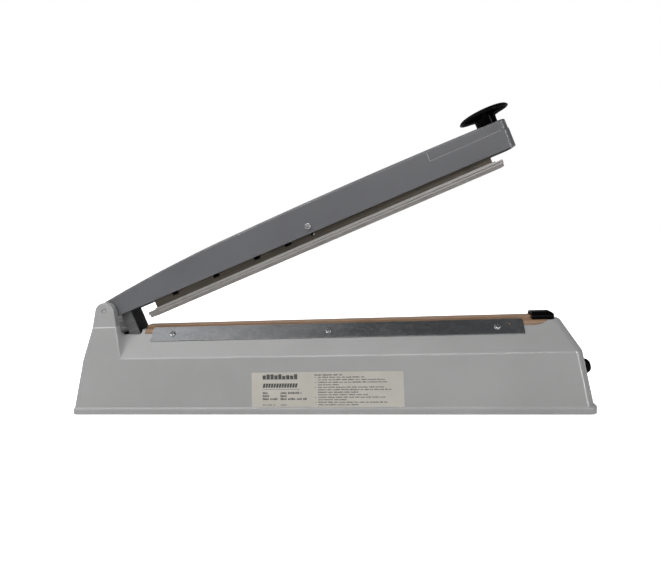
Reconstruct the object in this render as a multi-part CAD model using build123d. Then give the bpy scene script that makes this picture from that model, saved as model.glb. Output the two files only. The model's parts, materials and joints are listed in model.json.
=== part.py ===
from build123d import *
import os
from math import asin, cos, degrees, hypot, radians, sin

# Hand-operated impulse heat sealer, 400 mm class, in millimetres and degrees.
# X runs along the machine, hinge at -X and handle at +X. The operator stands at -Y. Z is up.
# The origin is the middle of the base's footprint, at the underside of the rubber feet.
# The arm is drawn in its own frame: u along the arm from the hinge axis, v up from it.

# ---- base housing: half length, half width and the heights of its faces ----
HALF_LENGTH = 275.0
HALF_WIDTH = 43.0
WALL = 2.6
RIM_BOTTOM = 1.0
RIM_TOP = 7.8
CREASE_Z = 60.0
DECK_Z = 88.6
WELL_Z = 86.3
STEP_X = -202.7
RIDGE_Z = 94.7
# Plan outlines (left end, right end, half width) at those heights
SKIRT_PLAN = (-274.3, 272.6, 41.5)
CREASE_PLAN = (-264.9, 265.2, 32.2)
DECK_PLAN = (-251.8, 250.2, 9.8)
END_BLOCK_LOW = (-264.9, -219.9, 32.2)
END_BLOCK_TOP = (-254.0, -225.4, 26.5)
# The moulding of the end block and ears sits on the base from the crease up, left of this X
HINGE_SPLIT_X = -217.5
CORNER_LEFT = 2.0
CORNER_RIGHT = 9.0
PLATE_THICKNESS = 1.2
PLATE_SEAT_Z = 2.4

# ---- hinge ----
PIVOT = (-238.0, 112.8)
EAR_CENTRE = (-237.9, 110.9)
EAR_RADIUS = 11.3
EAR_OUTER = 26.1
EAR_INNER = 18.0
PIN_RADIUS = 3.0
RUNNING = 0.05
ARM_OPEN = 20.0

# ---- arm ----
ARM_HALF = 17.0
ARM_WALL = 2.2
ARM_END = 471.5
ARM_BOTTOM = -10.0
ARM_CORNER = 8.0
BASE_START = 388.0
BASE_SPLIT = 8.9
LEG_START = 9.6
LEG_END = 21.6
LEG_HALF = 12.0
LEG_BOTTOM = -62.0
SHEET_METAL = 1.2
LEG_HOOK = (15.9, -52.0)

# ---- press bar, in the arm's frame ----
BAR_TILT = 0.3
SCREW_U = 247.75
SCREW_V = -2.2
CHANNEL = (51.4, 445.0)
CHANNEL_HALF = 9.0
PROFILE = (39.7, 454.7)
PROFILE_STEP = (48.7, 447.7)
PROFILE_HALF = 10.5
PROFILE_TOP = -17.3
SILICONE_TOP = -22.4
BAR_BOTTOM = -25.3
NOTCHES = (78.4, 130.4, 181.4, 218.9)

# ---- handle ----
HANDLE_U = 455.7
HANDLE_RADIUS = 25.0
STEM_RADIUS = 10.5
HANDLE_TOP = 36.6

# ---- element stack on the deck ----
BAR_HALF = 6.2
BAR_TOP = 91.9
GROOVE = 1.2
BAR_ENDS = (-194.0, 222.0)
INSULATION = 0.3
RIBBON = 0.2
RIBBON_HALF = 1.0
CLOTH = 0.3
CLOTH_ENDS = (-198.5, 222.0)
FLAP_END = 238.0
TERMINAL_X = (-189.2, 229.0)
TERMINAL_Z = (77.0, 88.6)
TERMINAL_HEIGHT = (6.0, 3.6)
CLOTH_REACH = 5.8
CLOSED_GAP = 0.3

# ---- clamp strips ----
STRIP_LOW = (-190.3, 212.5)
STRIP_HIGH = (-188.0, 212.4)
STRIP_THICKNESS = 1.0
STRIP_BAND = (20.9, 37.7)
STRIP_SCREWS = (-164.3, 11.7, 186.4)
STRIP_SCREW_S = 29.1
SPARE_HOLE = (198.8, 32.0)

# ---- label, timer and gland ----
LABEL = (-70.0, 89.6, 8.2, 43.8)
KNOB_Z = 36.5
KNOB_RADIUS = 7.7
GLAND_Z = 24.0
CORD_RADIUS = 3.4

# Derived: the slope of the upper faces, the lean of the lower and end faces
SLOPE_RUN = CREASE_PLAN[2] - DECK_PLAN[2]
SLOPE_RISE = DECK_Z - CREASE_Z
SLOPE_LENGTH = hypot(SLOPE_RUN, SLOPE_RISE)
SLOPE_NORMAL = (SLOPE_RISE / SLOPE_LENGTH, SLOPE_RUN / SLOPE_LENGTH)
CLOTH_TOP = BAR_TOP + INSULATION + RIBBON + CLOTH
# The arm closes until the level press bar stands CLOSED_GAP above the cloth.
CLOSED_TILT = degrees(asin((CLOTH_TOP + CLOSED_GAP - BAR_BOTTOM - PIVOT[1]) / SCREW_U))
ARM_SWING = ARM_OPEN - CLOSED_TILT


def save(node, *pieces):
    """Write the pieces of one node as a STEP file, each piece a separate solid."""
    solids = [solid for piece in pieces for solid in piece.solids()]
    shape = solids[0] if len(solids) == 1 else Compound(children=solids)
    export_step(shape, f"parts/{node}.step")


def plan(z, ends, corner_left=CORNER_LEFT, corner_right=CORNER_RIGHT):
    """A plan outline at height z, with its own corner radius at each end."""
    left, right, half = ends
    outline = Pos((left + right) / 2, 0, z) * Rectangle(right - left, 2 * half)
    outline = fillet(outline.vertices().group_by(Axis.X)[0], corner_left)
    return fillet(outline.vertices().group_by(Axis.X)[-1], corner_right).face()


def inset(ends, wall):
    """A plan outline moved inwards by the wall."""
    return (ends[0] + wall, ends[1] - wall, ends[2] - wall)


def between(low, high, share):
    """The plan outline at a share of the way from low to high."""
    return tuple(a + (b - a) * share for a, b in zip(low, high))


def block(x, y, z):
    """A box from its three pairs of limits."""
    size = (x[1] - x[0], y[1] - y[0], z[1] - z[0])
    return Pos((x[0] + x[1]) / 2, (y[0] + y[1]) / 2, (z[0] + z[1]) / 2) * Box(*size)


def rod(start, end, radius):
    """A round rod between two points."""
    along = Vector(*end) - Vector(*start)
    return extrude(Plane(origin=start, z_dir=along) * Circle(radius), along.length)


def side_plane(origin, outward, x_dir=(1, 0, 0)):
    """A plane on a face, its z axis pointing out of the face."""
    return Plane(origin=origin, x_dir=x_dir, z_dir=outward)


def slope_plane(side, x, reach):
    """The plane on an upper slope, at a distance up the slope from the crease."""
    y = CREASE_PLAN[2] - reach * SLOPE_RUN / SLOPE_LENGTH
    z = CREASE_Z + reach * SLOPE_RISE / SLOPE_LENGTH
    return side_plane((x, side * y, z), (0, side * SLOPE_NORMAL[0], SLOPE_NORMAL[1]))


def end_plane(side, y, z):
    """The plane on the lower end face: side is +1 for the right end and -1 for the left."""
    low = SKIRT_PLAN[1] if side > 0 else SKIRT_PLAN[0]
    high = CREASE_PLAN[1] if side > 0 else CREASE_PLAN[0]
    lean = (high - low) / (CREASE_Z - RIM_TOP)
    x = low + lean * (z - RIM_TOP)
    return side_plane((x, y, z), (side, 0, abs(lean)), (0, side, 0))


def front_plane(x, z):
    """The plane on the lower front face."""
    lean = (SKIRT_PLAN[2] - CREASE_PLAN[2]) / (CREASE_Z - RIM_TOP)
    y = SKIRT_PLAN[2] - lean * (z - RIM_TOP)
    return side_plane((x, -y, z), (0, -1, lean))


def pan_head(radius, height):
    """A cross-recessed pan head standing on z = 0."""
    head = extrude(Circle(radius), height)
    head = fillet(head.edges().group_by(Axis.Z)[-1], height * 0.55)
    slot = extrude(Pos(0, 0, height * 0.45) * Rectangle(radius * 1.15, radius * 0.26), height)
    return head - slot - Rot(0, 0, 90) * slot


def screw(radius, head_radius, head_height, length):
    """A screw with its head on z = 0 and its shank below it."""
    return pan_head(head_radius, head_height) + extrude(Circle(radius), -length)


def slab(sketch, half):
    """A face in the XZ plane made as thick as twice half, about y = 0."""
    return extrude(sketch, half, both=True)


def tilted(shape):
    """Turn a piece of the press bar a little about its screw, as it hangs when open."""
    return Pos(SCREW_U, 0, SCREW_V) * Rot(0, -BAR_TILT, 0) * Pos(-SCREW_U, 0, -SCREW_V) * shape


def in_arm(shape):
    """Move a shape from the arm's frame to its open rest pose."""
    return Pos(PIVOT[0], 0, PIVOT[1]) * Rot(0, -ARM_OPEN, 0) * shape


# ---------------------------------------------------------------- base housing

def housing_outside():
    """The outer form: rim, leaning skirt, sloping upper faces, end block and ears."""
    rim = extrude(plan(RIM_BOTTOM, (-HALF_LENGTH, HALF_LENGTH, HALF_WIDTH)), RIM_TOP - RIM_BOTTOM)
    rim = chamfer(rim.edges().group_by(Axis.Z)[-1], 0.9)
    skirt = loft([plan(RIM_TOP, SKIRT_PLAN), plan(CREASE_Z, CREASE_PLAN)], ruled=True)
    upper = loft([plan(CREASE_Z, CREASE_PLAN), plan(DECK_Z, DECK_PLAN)], ruled=True)
    body = skirt + upper
    crease = body.edges().filter_by(Axis.X).filter_by_position(Axis.Z, CREASE_Z - 0.1, CREASE_Z + 0.1)
    body = fillet(crease, 5.0)
    deck = body.edges().group_by(Axis.Z)[-1]
    body = fillet(deck.filter_by(Axis.X), 2.2)
    end_block = loft(
        [
            plan(CREASE_Z, END_BLOCK_LOW, corner_right=0.6),
            plan(RIDGE_Z, END_BLOCK_TOP, corner_right=0.6),
        ],
        ruled=True,
    )
    lower_block = loft(
        [
            plan(CREASE_Z - 12, (-267.0, -219.3, 34.26), corner_right=0.6),
            plan(CREASE_Z, END_BLOCK_LOW, corner_right=0.6),
        ],
        ruled=True,
    )
    foot = Pos((END_BLOCK_TOP[0] + END_BLOCK_TOP[1]) / 2, RIDGE_Z - 1)
    foot = foot * Rectangle(END_BLOCK_TOP[1] - END_BLOCK_TOP[0], 2)
    top = Pos(*EAR_CENTRE) * Circle(EAR_RADIUS)
    ears = slab(Plane.XZ * make_hull((foot + top).edges()), EAR_OUTER)
    rounded = [edge for edge in ears.edges() if edge.center().Z > RIDGE_Z + 1 and edge.length > 15]
    ears = fillet(rounded, 1.3)
    return rim + body + lower_block + end_block + ears


def housing_inside():
    """The hollow under the shell, as the pieces that are cut from it in turn."""
    low = between(SKIRT_PLAN, CREASE_PLAN, (PLATE_SEAT_Z - RIM_TOP) / (CREASE_Z - RIM_TOP))
    top_z = DECK_Z - WALL - 0.2
    top = between(CREASE_PLAN, DECK_PLAN, (top_z - CREASE_Z) / SLOPE_RISE)
    well_top = WELL_Z - WALL
    block_top = between(END_BLOCK_LOW, END_BLOCK_TOP, (well_top - CREASE_Z) / (RIDGE_Z - CREASE_Z))
    thick = WALL * 1.27
    crease = plan(CREASE_Z, inset(CREASE_PLAN, WALL), 1.0, CORNER_RIGHT - WALL)
    seat = plan(PLATE_SEAT_Z, inset(low, WALL), 1.0, CORNER_RIGHT - WALL)
    skirt = loft([seat, crease], ruled=True)
    upper = loft([crease, plan(top_z, inset(top, thick), 1.0, CORNER_RIGHT - thick)], ruled=True)
    upper -= block((-300, -199), (-60, 60), (well_top, 120))
    end_block = loft(
        [
            plan(CREASE_Z, inset(END_BLOCK_LOW, WALL), 1.0, 1.0),
            plan(well_top, inset(block_top, WALL), 1.0, 1.0),
        ],
        ruled=True,
    )
    ends = (-HALF_LENGTH + 2.2, HALF_LENGTH - 2.2, HALF_WIDTH - 2.2)
    pocket = extrude(plan(RIM_BOTTOM, ends, 1.0, 7.0), PLATE_SEAT_Z - RIM_BOTTOM)
    return [skirt, upper, end_block, pocket]


BOSS_PLACES = [(x, side * 35.0) for x in (-245.0, 0.0, 245.0) for side in (-1, 1)]


def base_housing():
    """The moulded shell with bosses, hinge ears, leg slot, element groove and holes."""
    shell = housing_outside()
    for hollow in housing_inside():
        shell -= hollow
    for x, y in BOSS_PLACES:
        shell += rod((x, y, PLATE_SEAT_Z), (x, y, 18), 3.5)
        shell -= rod((x, y, PLATE_SEAT_Z), (x, y, 15), 1.5)
    for side in (-1, 1):
        for x in STRIP_SCREWS:
            place = slope_plane(side, x, STRIP_SCREW_S)
            shell += extrude(place * Circle(3.4), -9) & housing_outside_core()
            shell -= extrude(place * Circle(1.5), -8)
    gap = (-EAR_INNER, EAR_INNER)
    shell -= block((END_BLOCK_TOP[0] + 3.0, STEP_X), gap, (WELL_Z, 130))
    shell -= block((-300, STEP_X), gap, (RIDGE_Z, 130))
    slot = Pos(-216.2, 0, 0) * Box(26.6, 26.4, 200)
    slot = fillet(slot.edges().filter_by(Axis.Z), 1.0)
    shell -= slot & block((-300, 0), (-60, 60), (70, 100))
    shell -= block(BAR_ENDS, (-BAR_HALF, BAR_HALF), (DECK_Z - GROOVE, 130))
    for x in (BAR_ENDS[0] - 1.2, 229.0):
        shell -= rod((x, 0, 70), (x, 0, 100), 1.4)
    shell -= rod((PIVOT[0], -60, PIVOT[1]), (PIVOT[0], 60, PIVOT[1]), PIN_RADIUS)
    shell -= extrude(end_plane(1, 0, KNOB_Z) * Circle(3.6), -8)
    shell -= extrude(end_plane(1, 17, 46) * Circle(3.4), -8)
    shell -= extrude(end_plane(-1, 0, GLAND_Z) * Circle(6.0), -8)
    return shell


def housing_outside_core():
    """The upper body inside which the strip bosses are trimmed."""
    return loft([plan(CREASE_Z, CREASE_PLAN), plan(DECK_Z, DECK_PLAN)], ruled=True)


def bottom_plate():
    """The steel base plate with screw holes, foot holes and two rows of vents."""
    ends = (-HALF_LENGTH + 2.5, HALF_LENGTH - 2.5, HALF_WIDTH - 2.5)
    z = PLATE_SEAT_Z - PLATE_THICKNESS
    plate = extrude(plan(z, ends, 1.0, 6.7), PLATE_THICKNESS)
    for x, y in BOSS_PLACES:
        plate -= rod((x, y, 0), (x, y, 5), 1.7)
    for x, y in FOOT_PLACES:
        plate -= rod((x, y, 0), (x, y, 5), 2.5)
    for x in PLATE_SCREWS:
        plate -= rod((x, 0, 0), (x, 0, 5), 2.0)
    for centre in (-60, 205):
        for i in range(6):
            vent = Pos(centre + 7 * (i - 2.5), 0) * SlotOverall(30, 3, rotation=90)
            plate -= extrude(vent, 5)
    return plate


FOOT_PLACES = [(x, side * 27.0) for x in (-232.0, 232.0) for side in (-1, 1)]


def rubber_foot(x, y):
    """A push-in rubber foot: pad, neck through the plate, and retaining button."""
    plate_bottom = PLATE_SEAT_Z - PLATE_THICKNESS
    pad = rod((x, y, 0), (x, y, plate_bottom), 8.0)
    pad = fillet(pad.edges().group_by(Axis.Z)[0], 0.5)
    neck = rod((x, y, plate_bottom), (x, y, PLATE_SEAT_Z), 2.5)
    button = rod((x, y, PLATE_SEAT_Z), (x, y, PLATE_SEAT_Z + 1.6), 3.6)
    return pad + neck + button


def bottom_screw(x, y):
    """A pan screw from below, its head against the base plate."""
    down = Pos(x, y, PLATE_SEAT_Z - PLATE_THICKNESS) * Rot(180, 0, 0)
    return down * screw(1.5, 2.8, 0.9, 12.0)


# ---------------------------------------------------------------- element stack

def cloth_profile(top, reach):
    """Section of the cloth: up the slope, along the deck, over the bar and down again."""
    y = DECK_PLAN[2] + reach * SLOPE_RUN / SLOPE_LENGTH
    z = DECK_Z - reach * SLOPE_RISE / SLOPE_LENGTH
    half = [(y, z), (DECK_PLAN[2], DECK_Z), (BAR_HALF, DECK_Z), (BAR_HALF, top)]
    mirrored = [(-a, b) for a, b in reversed(half)]
    return Plane.YZ * offset(
        Polyline(*half, *mirrored), CLOTH, kind=Kind.INTERSECTION, side=Side.RIGHT, closed=True
    )


def flap_profile(side):
    """Section of a flap beyond the bar: the slope and a strip of deck beside the terminal."""
    y = DECK_PLAN[2] + CLOTH_REACH * SLOPE_RUN / SLOPE_LENGTH
    z = DECK_Z - CLOTH_REACH * SLOPE_RISE / SLOPE_LENGTH
    points = [(y, z), (DECK_PLAN[2], DECK_Z), (BAR_HALF, DECK_Z)]
    line = Polyline(*[(side * a, b) for a, b in points])
    outward = Side.RIGHT if side > 0 else Side.LEFT
    return Plane.YZ * offset(line, CLOTH, kind=Kind.INTERSECTION, side=outward, closed=True)


def ptfe_sheet():
    """The brown release cloth over the element, with two flaps under the end cap."""
    under = BAR_TOP + INSULATION + RIBBON
    length = CLOTH_ENDS[1] - CLOTH_ENDS[0]
    section = make_face(cloth_profile(under, CLOTH_REACH).edges())
    sheet = Pos(CLOTH_ENDS[0], 0, 0) * extrude(section, length, dir=(1, 0, 0))
    start = CLOTH_ENDS[1]
    lower = ThreePointArc((start, 83.5), (232.0, 84.6), (FLAP_END, 88.0))
    border = Polyline((FLAP_END, 88.0), (FLAP_END, 95.0), (start, 95.0), (start, 83.5))
    outline = slab(Plane.XZ * make_face([*lower.edges(), *border.edges()]), 20)
    for side in (-1, 1):
        flap = make_face(flap_profile(side).edges())
        sheet += Pos(start, 0, 0) * extrude(flap, FLAP_END - start, dir=(1, 0, 0)) & outline
    return sheet


def clamp_strip(side):
    """A steel strip along the slope that clamps the cloth, with slanted ends."""
    low, high = STRIP_BAND
    middle = (low + high) / 2
    half = (high - low) / 2
    up = 1 if side < 0 else -1
    place = slope_plane(side, 0, middle)
    corners = [
        (STRIP_LOW[0], -up * half),
        (STRIP_LOW[1], -up * half),
        (STRIP_HIGH[1], up * half),
        (STRIP_HIGH[0], up * half),
    ]
    outline = make_face(Polyline(*corners, close=True))
    outline = fillet(outline.vertices(), 0.8)
    strip = extrude(place * Pos(0, 0, CLOTH) * outline, STRIP_THICKNESS)
    for x in STRIP_SCREWS:
        strip -= extrude(slope_plane(side, x, STRIP_SCREW_S) * Circle(1.7), 5)
    return strip - extrude(slope_plane(side, *SPARE_HOLE) * Circle(1.0), 5)


def strip_screw(side, x):
    """A pan screw that holds a clamp strip to the slope."""
    place = slope_plane(side, x, STRIP_SCREW_S)
    return place * Pos(0, 0, CLOTH + STRIP_THICKNESS) * screw(1.5, 3.1, 1.7, 8.0)


def heating_element():
    """The flat ribbon: its run over the bar, with a drop at the left end into the base."""
    z = BAR_TOP + INSULATION
    run = block((BAR_ENDS[0] - 1.4, TERMINAL_X[1] + 0.9), (-RIBBON_HALF, RIBBON_HALF), (z, z + RIBBON))
    drop_x = (BAR_ENDS[0] - 1.4, BAR_ENDS[0] - 1.2)
    drop = block(drop_x, (-RIBBON_HALF, RIBBON_HALF), (78.0, z))
    return run + drop


def element_bar():
    """The bar that carries the element, rounded along its top edges."""
    bar = block(BAR_ENDS, (-BAR_HALF, BAR_HALF), (DECK_Z - GROOVE, BAR_TOP))
    return bar


def end_cap():
    """The black saddle over the right end of the element: an arch closed by a round end."""
    outer_half, height, left, right = 10.0, 7.6, 221.8, 244.6
    bottom = DECK_Z + CLOTH + 0.1
    arch = Pos(0, height / 2) * Rectangle(2 * outer_half, height)
    arch = fillet(arch.vertices().group_by(Axis.Y)[-1], 6.2)
    cap = Pos(left, 0, bottom) * extrude(Plane.YZ * arch, right - left, dir=(1, 0, 0))
    middle, size = (left + right) / 2, right - left
    side_view = Pos(middle, bottom + height / 2) * Rectangle(size, height)
    corner = side_view.vertices().sort_by(Axis.Y)[-2:].sort_by(Axis.X)[-1]
    cap = cap & slab(Plane.XZ * fillet(corner, 6.0), outer_half)
    top_view = Pos(middle, 0) * Rectangle(size, 2 * outer_half)
    top_view = fillet(top_view.vertices().group_by(Axis.X)[-1], 5.5)
    cap = cap & extrude(Pos(0, 0, bottom) * top_view, height)
    hollow_top = 5.8
    inner = Pos(0, hollow_top / 2) * Rectangle(16.6, hollow_top)
    inner = fillet(inner.vertices().group_by(Axis.Y)[-1], 4.6)
    hollow = extrude(Plane.YZ * inner, 19.0, dir=(1, 0, 0))
    return cap - Pos(left, 0, bottom) * hollow


def terminal(x, z, height):
    """A brass terminal block with its clamp screw hole."""
    body = block((x - 6, x + 6), (-5, 5), (z, z + height))
    return body - rod((x + 2.5, 0, z - 1), (x + 2.5, 0, z + height + 1), 1.5)


# ---------------------------------------------------------------- electrics

CORE_X = (98.0, 158.0)
CORE_Z = (6.0, 56.0)
CORE_HALF = 16.0
WINDOW_Z = (16.0, 46.0)
CORE_MIDDLE = (CORE_X[0] + CORE_X[1]) / 2


def transformer_core():
    """The laminated core: an outer frame, two windows and a middle leg."""
    core = block(CORE_X, (-CORE_HALF, CORE_HALF), CORE_Z)
    for side in (-1, 1):
        middle = CORE_MIDDLE + side * 15
        core -= block((middle - 5, middle + 5), (-20, 20), WINDOW_Z)
    return core


def transformer_coil():
    """The winding around the core's middle leg."""
    z = (WINDOW_Z[0] + 0.2, WINDOW_Z[1] - 0.2)
    coil = block((CORE_MIDDLE - 19.8, CORE_MIDDLE + 19.8), (-26, 26), z)
    coil = fillet(coil.edges().filter_by(Axis.Z), 4.0)
    return coil - block((CORE_MIDDLE - 10.2, CORE_MIDDLE + 10.2), (-16.2, 16.2), (0, 80))


def transformer_strap():
    """The steel strap over the core, with a foot at each end."""
    t = SHEET_METAL
    half = 9.0
    left, right, top = CORE_X[0] - 0.1, CORE_X[1] + 0.1, CORE_Z[1] + 0.1
    strap = block((left - t, right + t), (-half, half), (top, top + t))
    for x, foot in (((left - t, left), (left - 13, left)), ((right, right + t), (right, right + 13))):
        strap += block(x, (-half, half), (PLATE_SEAT_Z, top + t))
        strap += block(foot, (-half, half), (PLATE_SEAT_Z, PLATE_SEAT_Z + t))
    for x in STRAP_SCREWS:
        strap -= rod((x, 0, 0), (x, 0, 8), 2.0)
    return strap


STRAP_SCREWS = (CORE_X[0] - 8.0, CORE_X[1] + 8.0)
PLATE_SCREWS = (*STRAP_SCREWS, -236.35, -143.0)
BOARD_X = (188.0, 248.0)
BOARD_HALF = 24.0
BOARD_Z = 11.0
STANDOFFS = [(x, side * 20.0) for x in (192.0, 244.0) for side in (-1, 1)]


def timer_board():
    """The timer's circuit board."""
    board = block(BOARD_X, (-BOARD_HALF, BOARD_HALF), (BOARD_Z, BOARD_Z + 1.6))
    for x, y in STANDOFFS:
        board -= rod((x, y, 0), (x, y, 20), 1.6)
    return board


def board_components():
    """Relay, capacitors, resistors and connector on the timer board, each its own solid."""
    z = BOARD_Z + 1.6
    relay = fillet(block((196, 215), (-8, 8), (z, z + 15)).edges().filter_by(Axis.Z), 1)
    connector = block((189, 195), (-5, 5), (z, z + 9)) - block((190, 194), (-4, 4), (z + 3, z + 20))
    cans = [rod((x, 13, z), (x, 13, z + 12), r) for x, r in ((206, 4.0), (218, 5.0))]
    resistors = [rod((222 + 4 * i, -16, z + 1.2), (222 + 4 * i, -8, z + 1.2), 1.2) for i in range(4)]
    chip = block((224, 234), (0, 6.4), (z, z + 3.2))
    return [relay, connector, *cans, *resistors, chip]


def board_post(x, y):
    """A plastic standoff between the base plate and the board, with its snap tip."""
    post = rod((x, y, PLATE_SEAT_Z), (x, y, BOARD_Z), 3.2)
    tip = rod((x, y, BOARD_Z), (x, y, BOARD_Z + 3.4), 1.6)
    return post + tip


def timer_pot():
    """The timer's rotary control: body behind the wall and threaded bush through it."""
    place = end_plane(1, 0, KNOB_Z)
    inner = -WALL - 0.4
    body = extrude(place * Pos(0, 0, inner) * Circle(8.0), -9.0)
    bush = extrude(place * Pos(0, 0, inner) * Circle(3.5), 2.6 - inner)
    bore = extrude(place * Pos(0, 0, -9.0) * Circle(2.0 + RUNNING), 12.0)
    return body + bush - bore


def pot_nut():
    """The hexagonal nut that holds the rotary control to the end wall."""
    place = end_plane(1, 0, KNOB_Z)
    nut = extrude(place * RegularPolygon(5.6, 6), 1.8)
    return nut - extrude(place * Circle(3.5), 1.8)


def pot_shaft():
    """The control's shaft, which turns with the knob."""
    place = end_plane(1, 0, KNOB_Z)
    return extrude(place * Pos(0, 0, -8.8) * Circle(2.0), 8.8 + 8.5)


def timer_knob():
    """A round knob with a domed nose, finger flutes and a pointer rib."""
    place = end_plane(1, 0, KNOB_Z)
    length = 12.2
    start = 2.9
    knob = extrude(place * Pos(0, 0, start) * Circle(KNOB_RADIUS), length - start)
    nose = knob.edges().filter_by(GeomType.CIRCLE).sort_by_distance(place.from_local_coords((0, 0, 20)))[0]
    knob = fillet(nose, 5.4)
    for i in range(12):
        flute = Rot(0, 0, 30 * i + 15) * Pos(KNOB_RADIUS + 0.9, 0, start - 1)
        knob -= place * (flute * extrude(Circle(1.5), length - start - 4.4))
    knob += place * Pos(0, 1.4, length - 0.9) * Box(1.2, 5.0, 2.2)
    return knob - extrude(place * Circle(2.0), 8.5)


def indicator_lamp():
    """The lamp's bezel and body through the end wall."""
    place = end_plane(1, 17, 46)
    bezel = extrude(place * Circle(4.6), 1.2)
    body = extrude(place * Circle(3.4), -11.0)
    return bezel + body - extrude(place * Pos(0, 0, -3) * Circle(2.6), 5.0)


def lamp_lens():
    """The lamp's domed lens."""
    place = end_plane(1, 17, 46)
    lens = extrude(place * Pos(0, 0, -3) * Circle(2.6), 5.4)
    tip = lens.edges().filter_by(GeomType.CIRCLE).sort_by_distance(place.from_local_coords((0, 0, 20)))[0]
    return fillet(tip, 1.6)


def cord_gland():
    """The cord inlet at the hinge end: flange, nose and inner collar around the cord's bore."""
    place = end_plane(-1, 0, GLAND_Z)
    flange = extrude(place * Circle(9.0), 2.0)
    nose = extrude(place * Pos(0, 0, 2.0) * Circle(7.0), 7.2, taper=8)
    neck = extrude(place * Circle(6.0), -WALL)
    collar = extrude(place * Pos(0, 0, -WALL - 0.4) * Circle(7.6), -3.0)
    middle = extrude(place * Pos(0, 0, -WALL) * Circle(6.0), -0.4)
    return flange + nose + neck + middle + collar - extrude(
        place * Pos(0, 0, -20) * Circle(CORD_RADIUS), 40
    )


# ---------------------------------------------------------------- switch and return spring

SWITCH_X = (-243.3, -232.9)
SWITCH_Z = (50.5, 70.5)
LEVER_PIN = (-231.5, 68.5)
LEVER_LENGTH = 15.4
ANCHOR = (-152.0, 62.0)


def hook_at_rest():
    """Where the leg's spring pin stands in the open pose, as X and Z."""
    a = radians(ARM_OPEN)
    u, v = LEG_HOOK
    return (PIVOT[0] + u * cos(a) - v * sin(a), PIVOT[1] + u * sin(a) + v * cos(a))


def microswitch():
    """The switch body with its plunger and the two ears that carry the lever's pin."""
    body = block(SWITCH_X, (-3.2, 3.2), SWITCH_Z)
    plunger_z = SWITCH_Z[0] + 6
    body += rod((SWITCH_X[1], 0, plunger_z), (SWITCH_X[1] + 0.9, 0, plunger_z), 1.1)
    for side in (-1, 1):
        y = sorted((side * 2.2, side * 3.2))
        body += block((SWITCH_X[1], SWITCH_X[1] + 2.6), y, (LEVER_PIN[1] - 1.6, LEVER_PIN[1] + 1.6))
    return body + rod((LEVER_PIN[0], -3.2, LEVER_PIN[1]), (LEVER_PIN[0], 3.2, LEVER_PIN[1]), 0.6)


def switch_bracket():
    """The bent bracket that stands on the base plate and carries the switch."""
    t = SHEET_METAL
    x = SWITCH_X[0] - 0.05
    bracket = block((x - t, x), (-9, 9), (PLATE_SEAT_Z, SWITCH_Z[1]))
    bracket += block((x - t, x + 12), (-9, 9), (PLATE_SEAT_Z, PLATE_SEAT_Z + t))
    return bracket - rod((x + 7, 0, 0), (x + 7, 0, 8), 2.0)


def switch_lever():
    """The sprung lever in front of the switch, with a rolled foot."""
    x, z = LEVER_PIN
    eye = rod((x, -1.8, z), (x, 1.8, z), 1.3)
    foot_z = z - LEVER_LENGTH
    blade = block((x + 0.3, x + 0.9), (-1.8, 1.8), (foot_z, z))
    foot = rod((x + 1.9, -1.8, foot_z), (x + 1.9, 1.8, foot_z), 1.6)
    return eye + blade + foot - rod((x, -4, z), (x, 4, z), 0.6 + RUNNING)


def spring_anchor():
    """The bracket that holds the return spring's fixed end: a foot and two cheeks."""
    t = SHEET_METAL
    x, z = ANCHOR
    bracket = block((x - 5, x + 13), (-7.2, 7.2), (PLATE_SEAT_Z, PLATE_SEAT_Z + t))
    for side in (-1, 1):
        y = sorted((side * (7.2 - t), side * 7.2))
        bracket += block((x - 5, x + 5), y, (PLATE_SEAT_Z, z + 5))
    bracket -= rod((x, -10, z), (x, 10, z), 1.5)
    return bracket - rod((x + 9, 0, 0), (x + 9, 0, 8), 2.0)


def spring_hook(coil_z, end_z, coil_radius, wire):
    """One end of the spring, along local z: a post off the coil, a stem and a closed loop."""
    toward = 1 if end_z > coil_z else -1
    loop = 2.4
    post_z = coil_z + toward * 0.1
    post = rod((coil_radius + 1.1, 0, post_z), (-0.9, 0, post_z), wire * 1.08)
    stem = rod((0, 0, coil_z - toward * 0.3), (0, 0, end_z - toward * (loop - 0.3)), wire * 0.9)
    ring = Plane(origin=(0, 0, end_z), x_dir=(0, 0, 1), z_dir=(1, 0, 0)) * Torus(loop, wire)
    return post + (stem + ring)


def return_spring():
    """The extension spring that lifts the arm, from the leg's pin to the fixed anchor."""
    hook_x, hook_z = hook_at_rest()
    hook = Vector(hook_x, 0, hook_z)
    span = Vector(ANCHOR[0], 0, ANCHOR[1]) - hook
    place = Plane(origin=hook, x_dir=(0, 1, 0), z_dir=span)
    wire, radius, turns, lead = 0.8, 3.6, 16, 7.0
    height = span.length - 2 * lead
    path = Pos(0, 0, lead) * Helix(pitch=height / turns, height=height, radius=radius)
    spring = sweep(Plane(origin=path @ 0, z_dir=path % 0) * Circle(wire), path=path)
    for coil_z, end_z in ((lead, 0), (lead + height, span.length)):
        spring += spring_hook(coil_z, end_z, radius, wire)
    return place * spring


# ---------------------------------------------------------------- arm

def arm_outline():
    """The arm's side: a low rear end, a top that rises and flattens, a square free end."""
    rear = ThreePointArc((0.0, ARM_BOTTOM), (-10.0, 0.0), (-6.6, 7.5))
    shoulder = ThreePointArc((-6.6, 7.5), (-2.4, 9.6), (3.0, 10.6))
    rise = ThreePointArc((3.0, 10.6), (60.0, 16.0), (150.0, 20.4))
    back = ThreePointArc((150.0, 20.4), (290.0, 21.6), (ARM_END, 19.0))
    close = Polyline((ARM_END, 19.0), (ARM_END, ARM_BOTTOM), (0.0, ARM_BOTTOM))
    return make_face([*rear.edges(), *shoulder.edges(), *rise.edges(), *back.edges(), *close.edges()])


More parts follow.
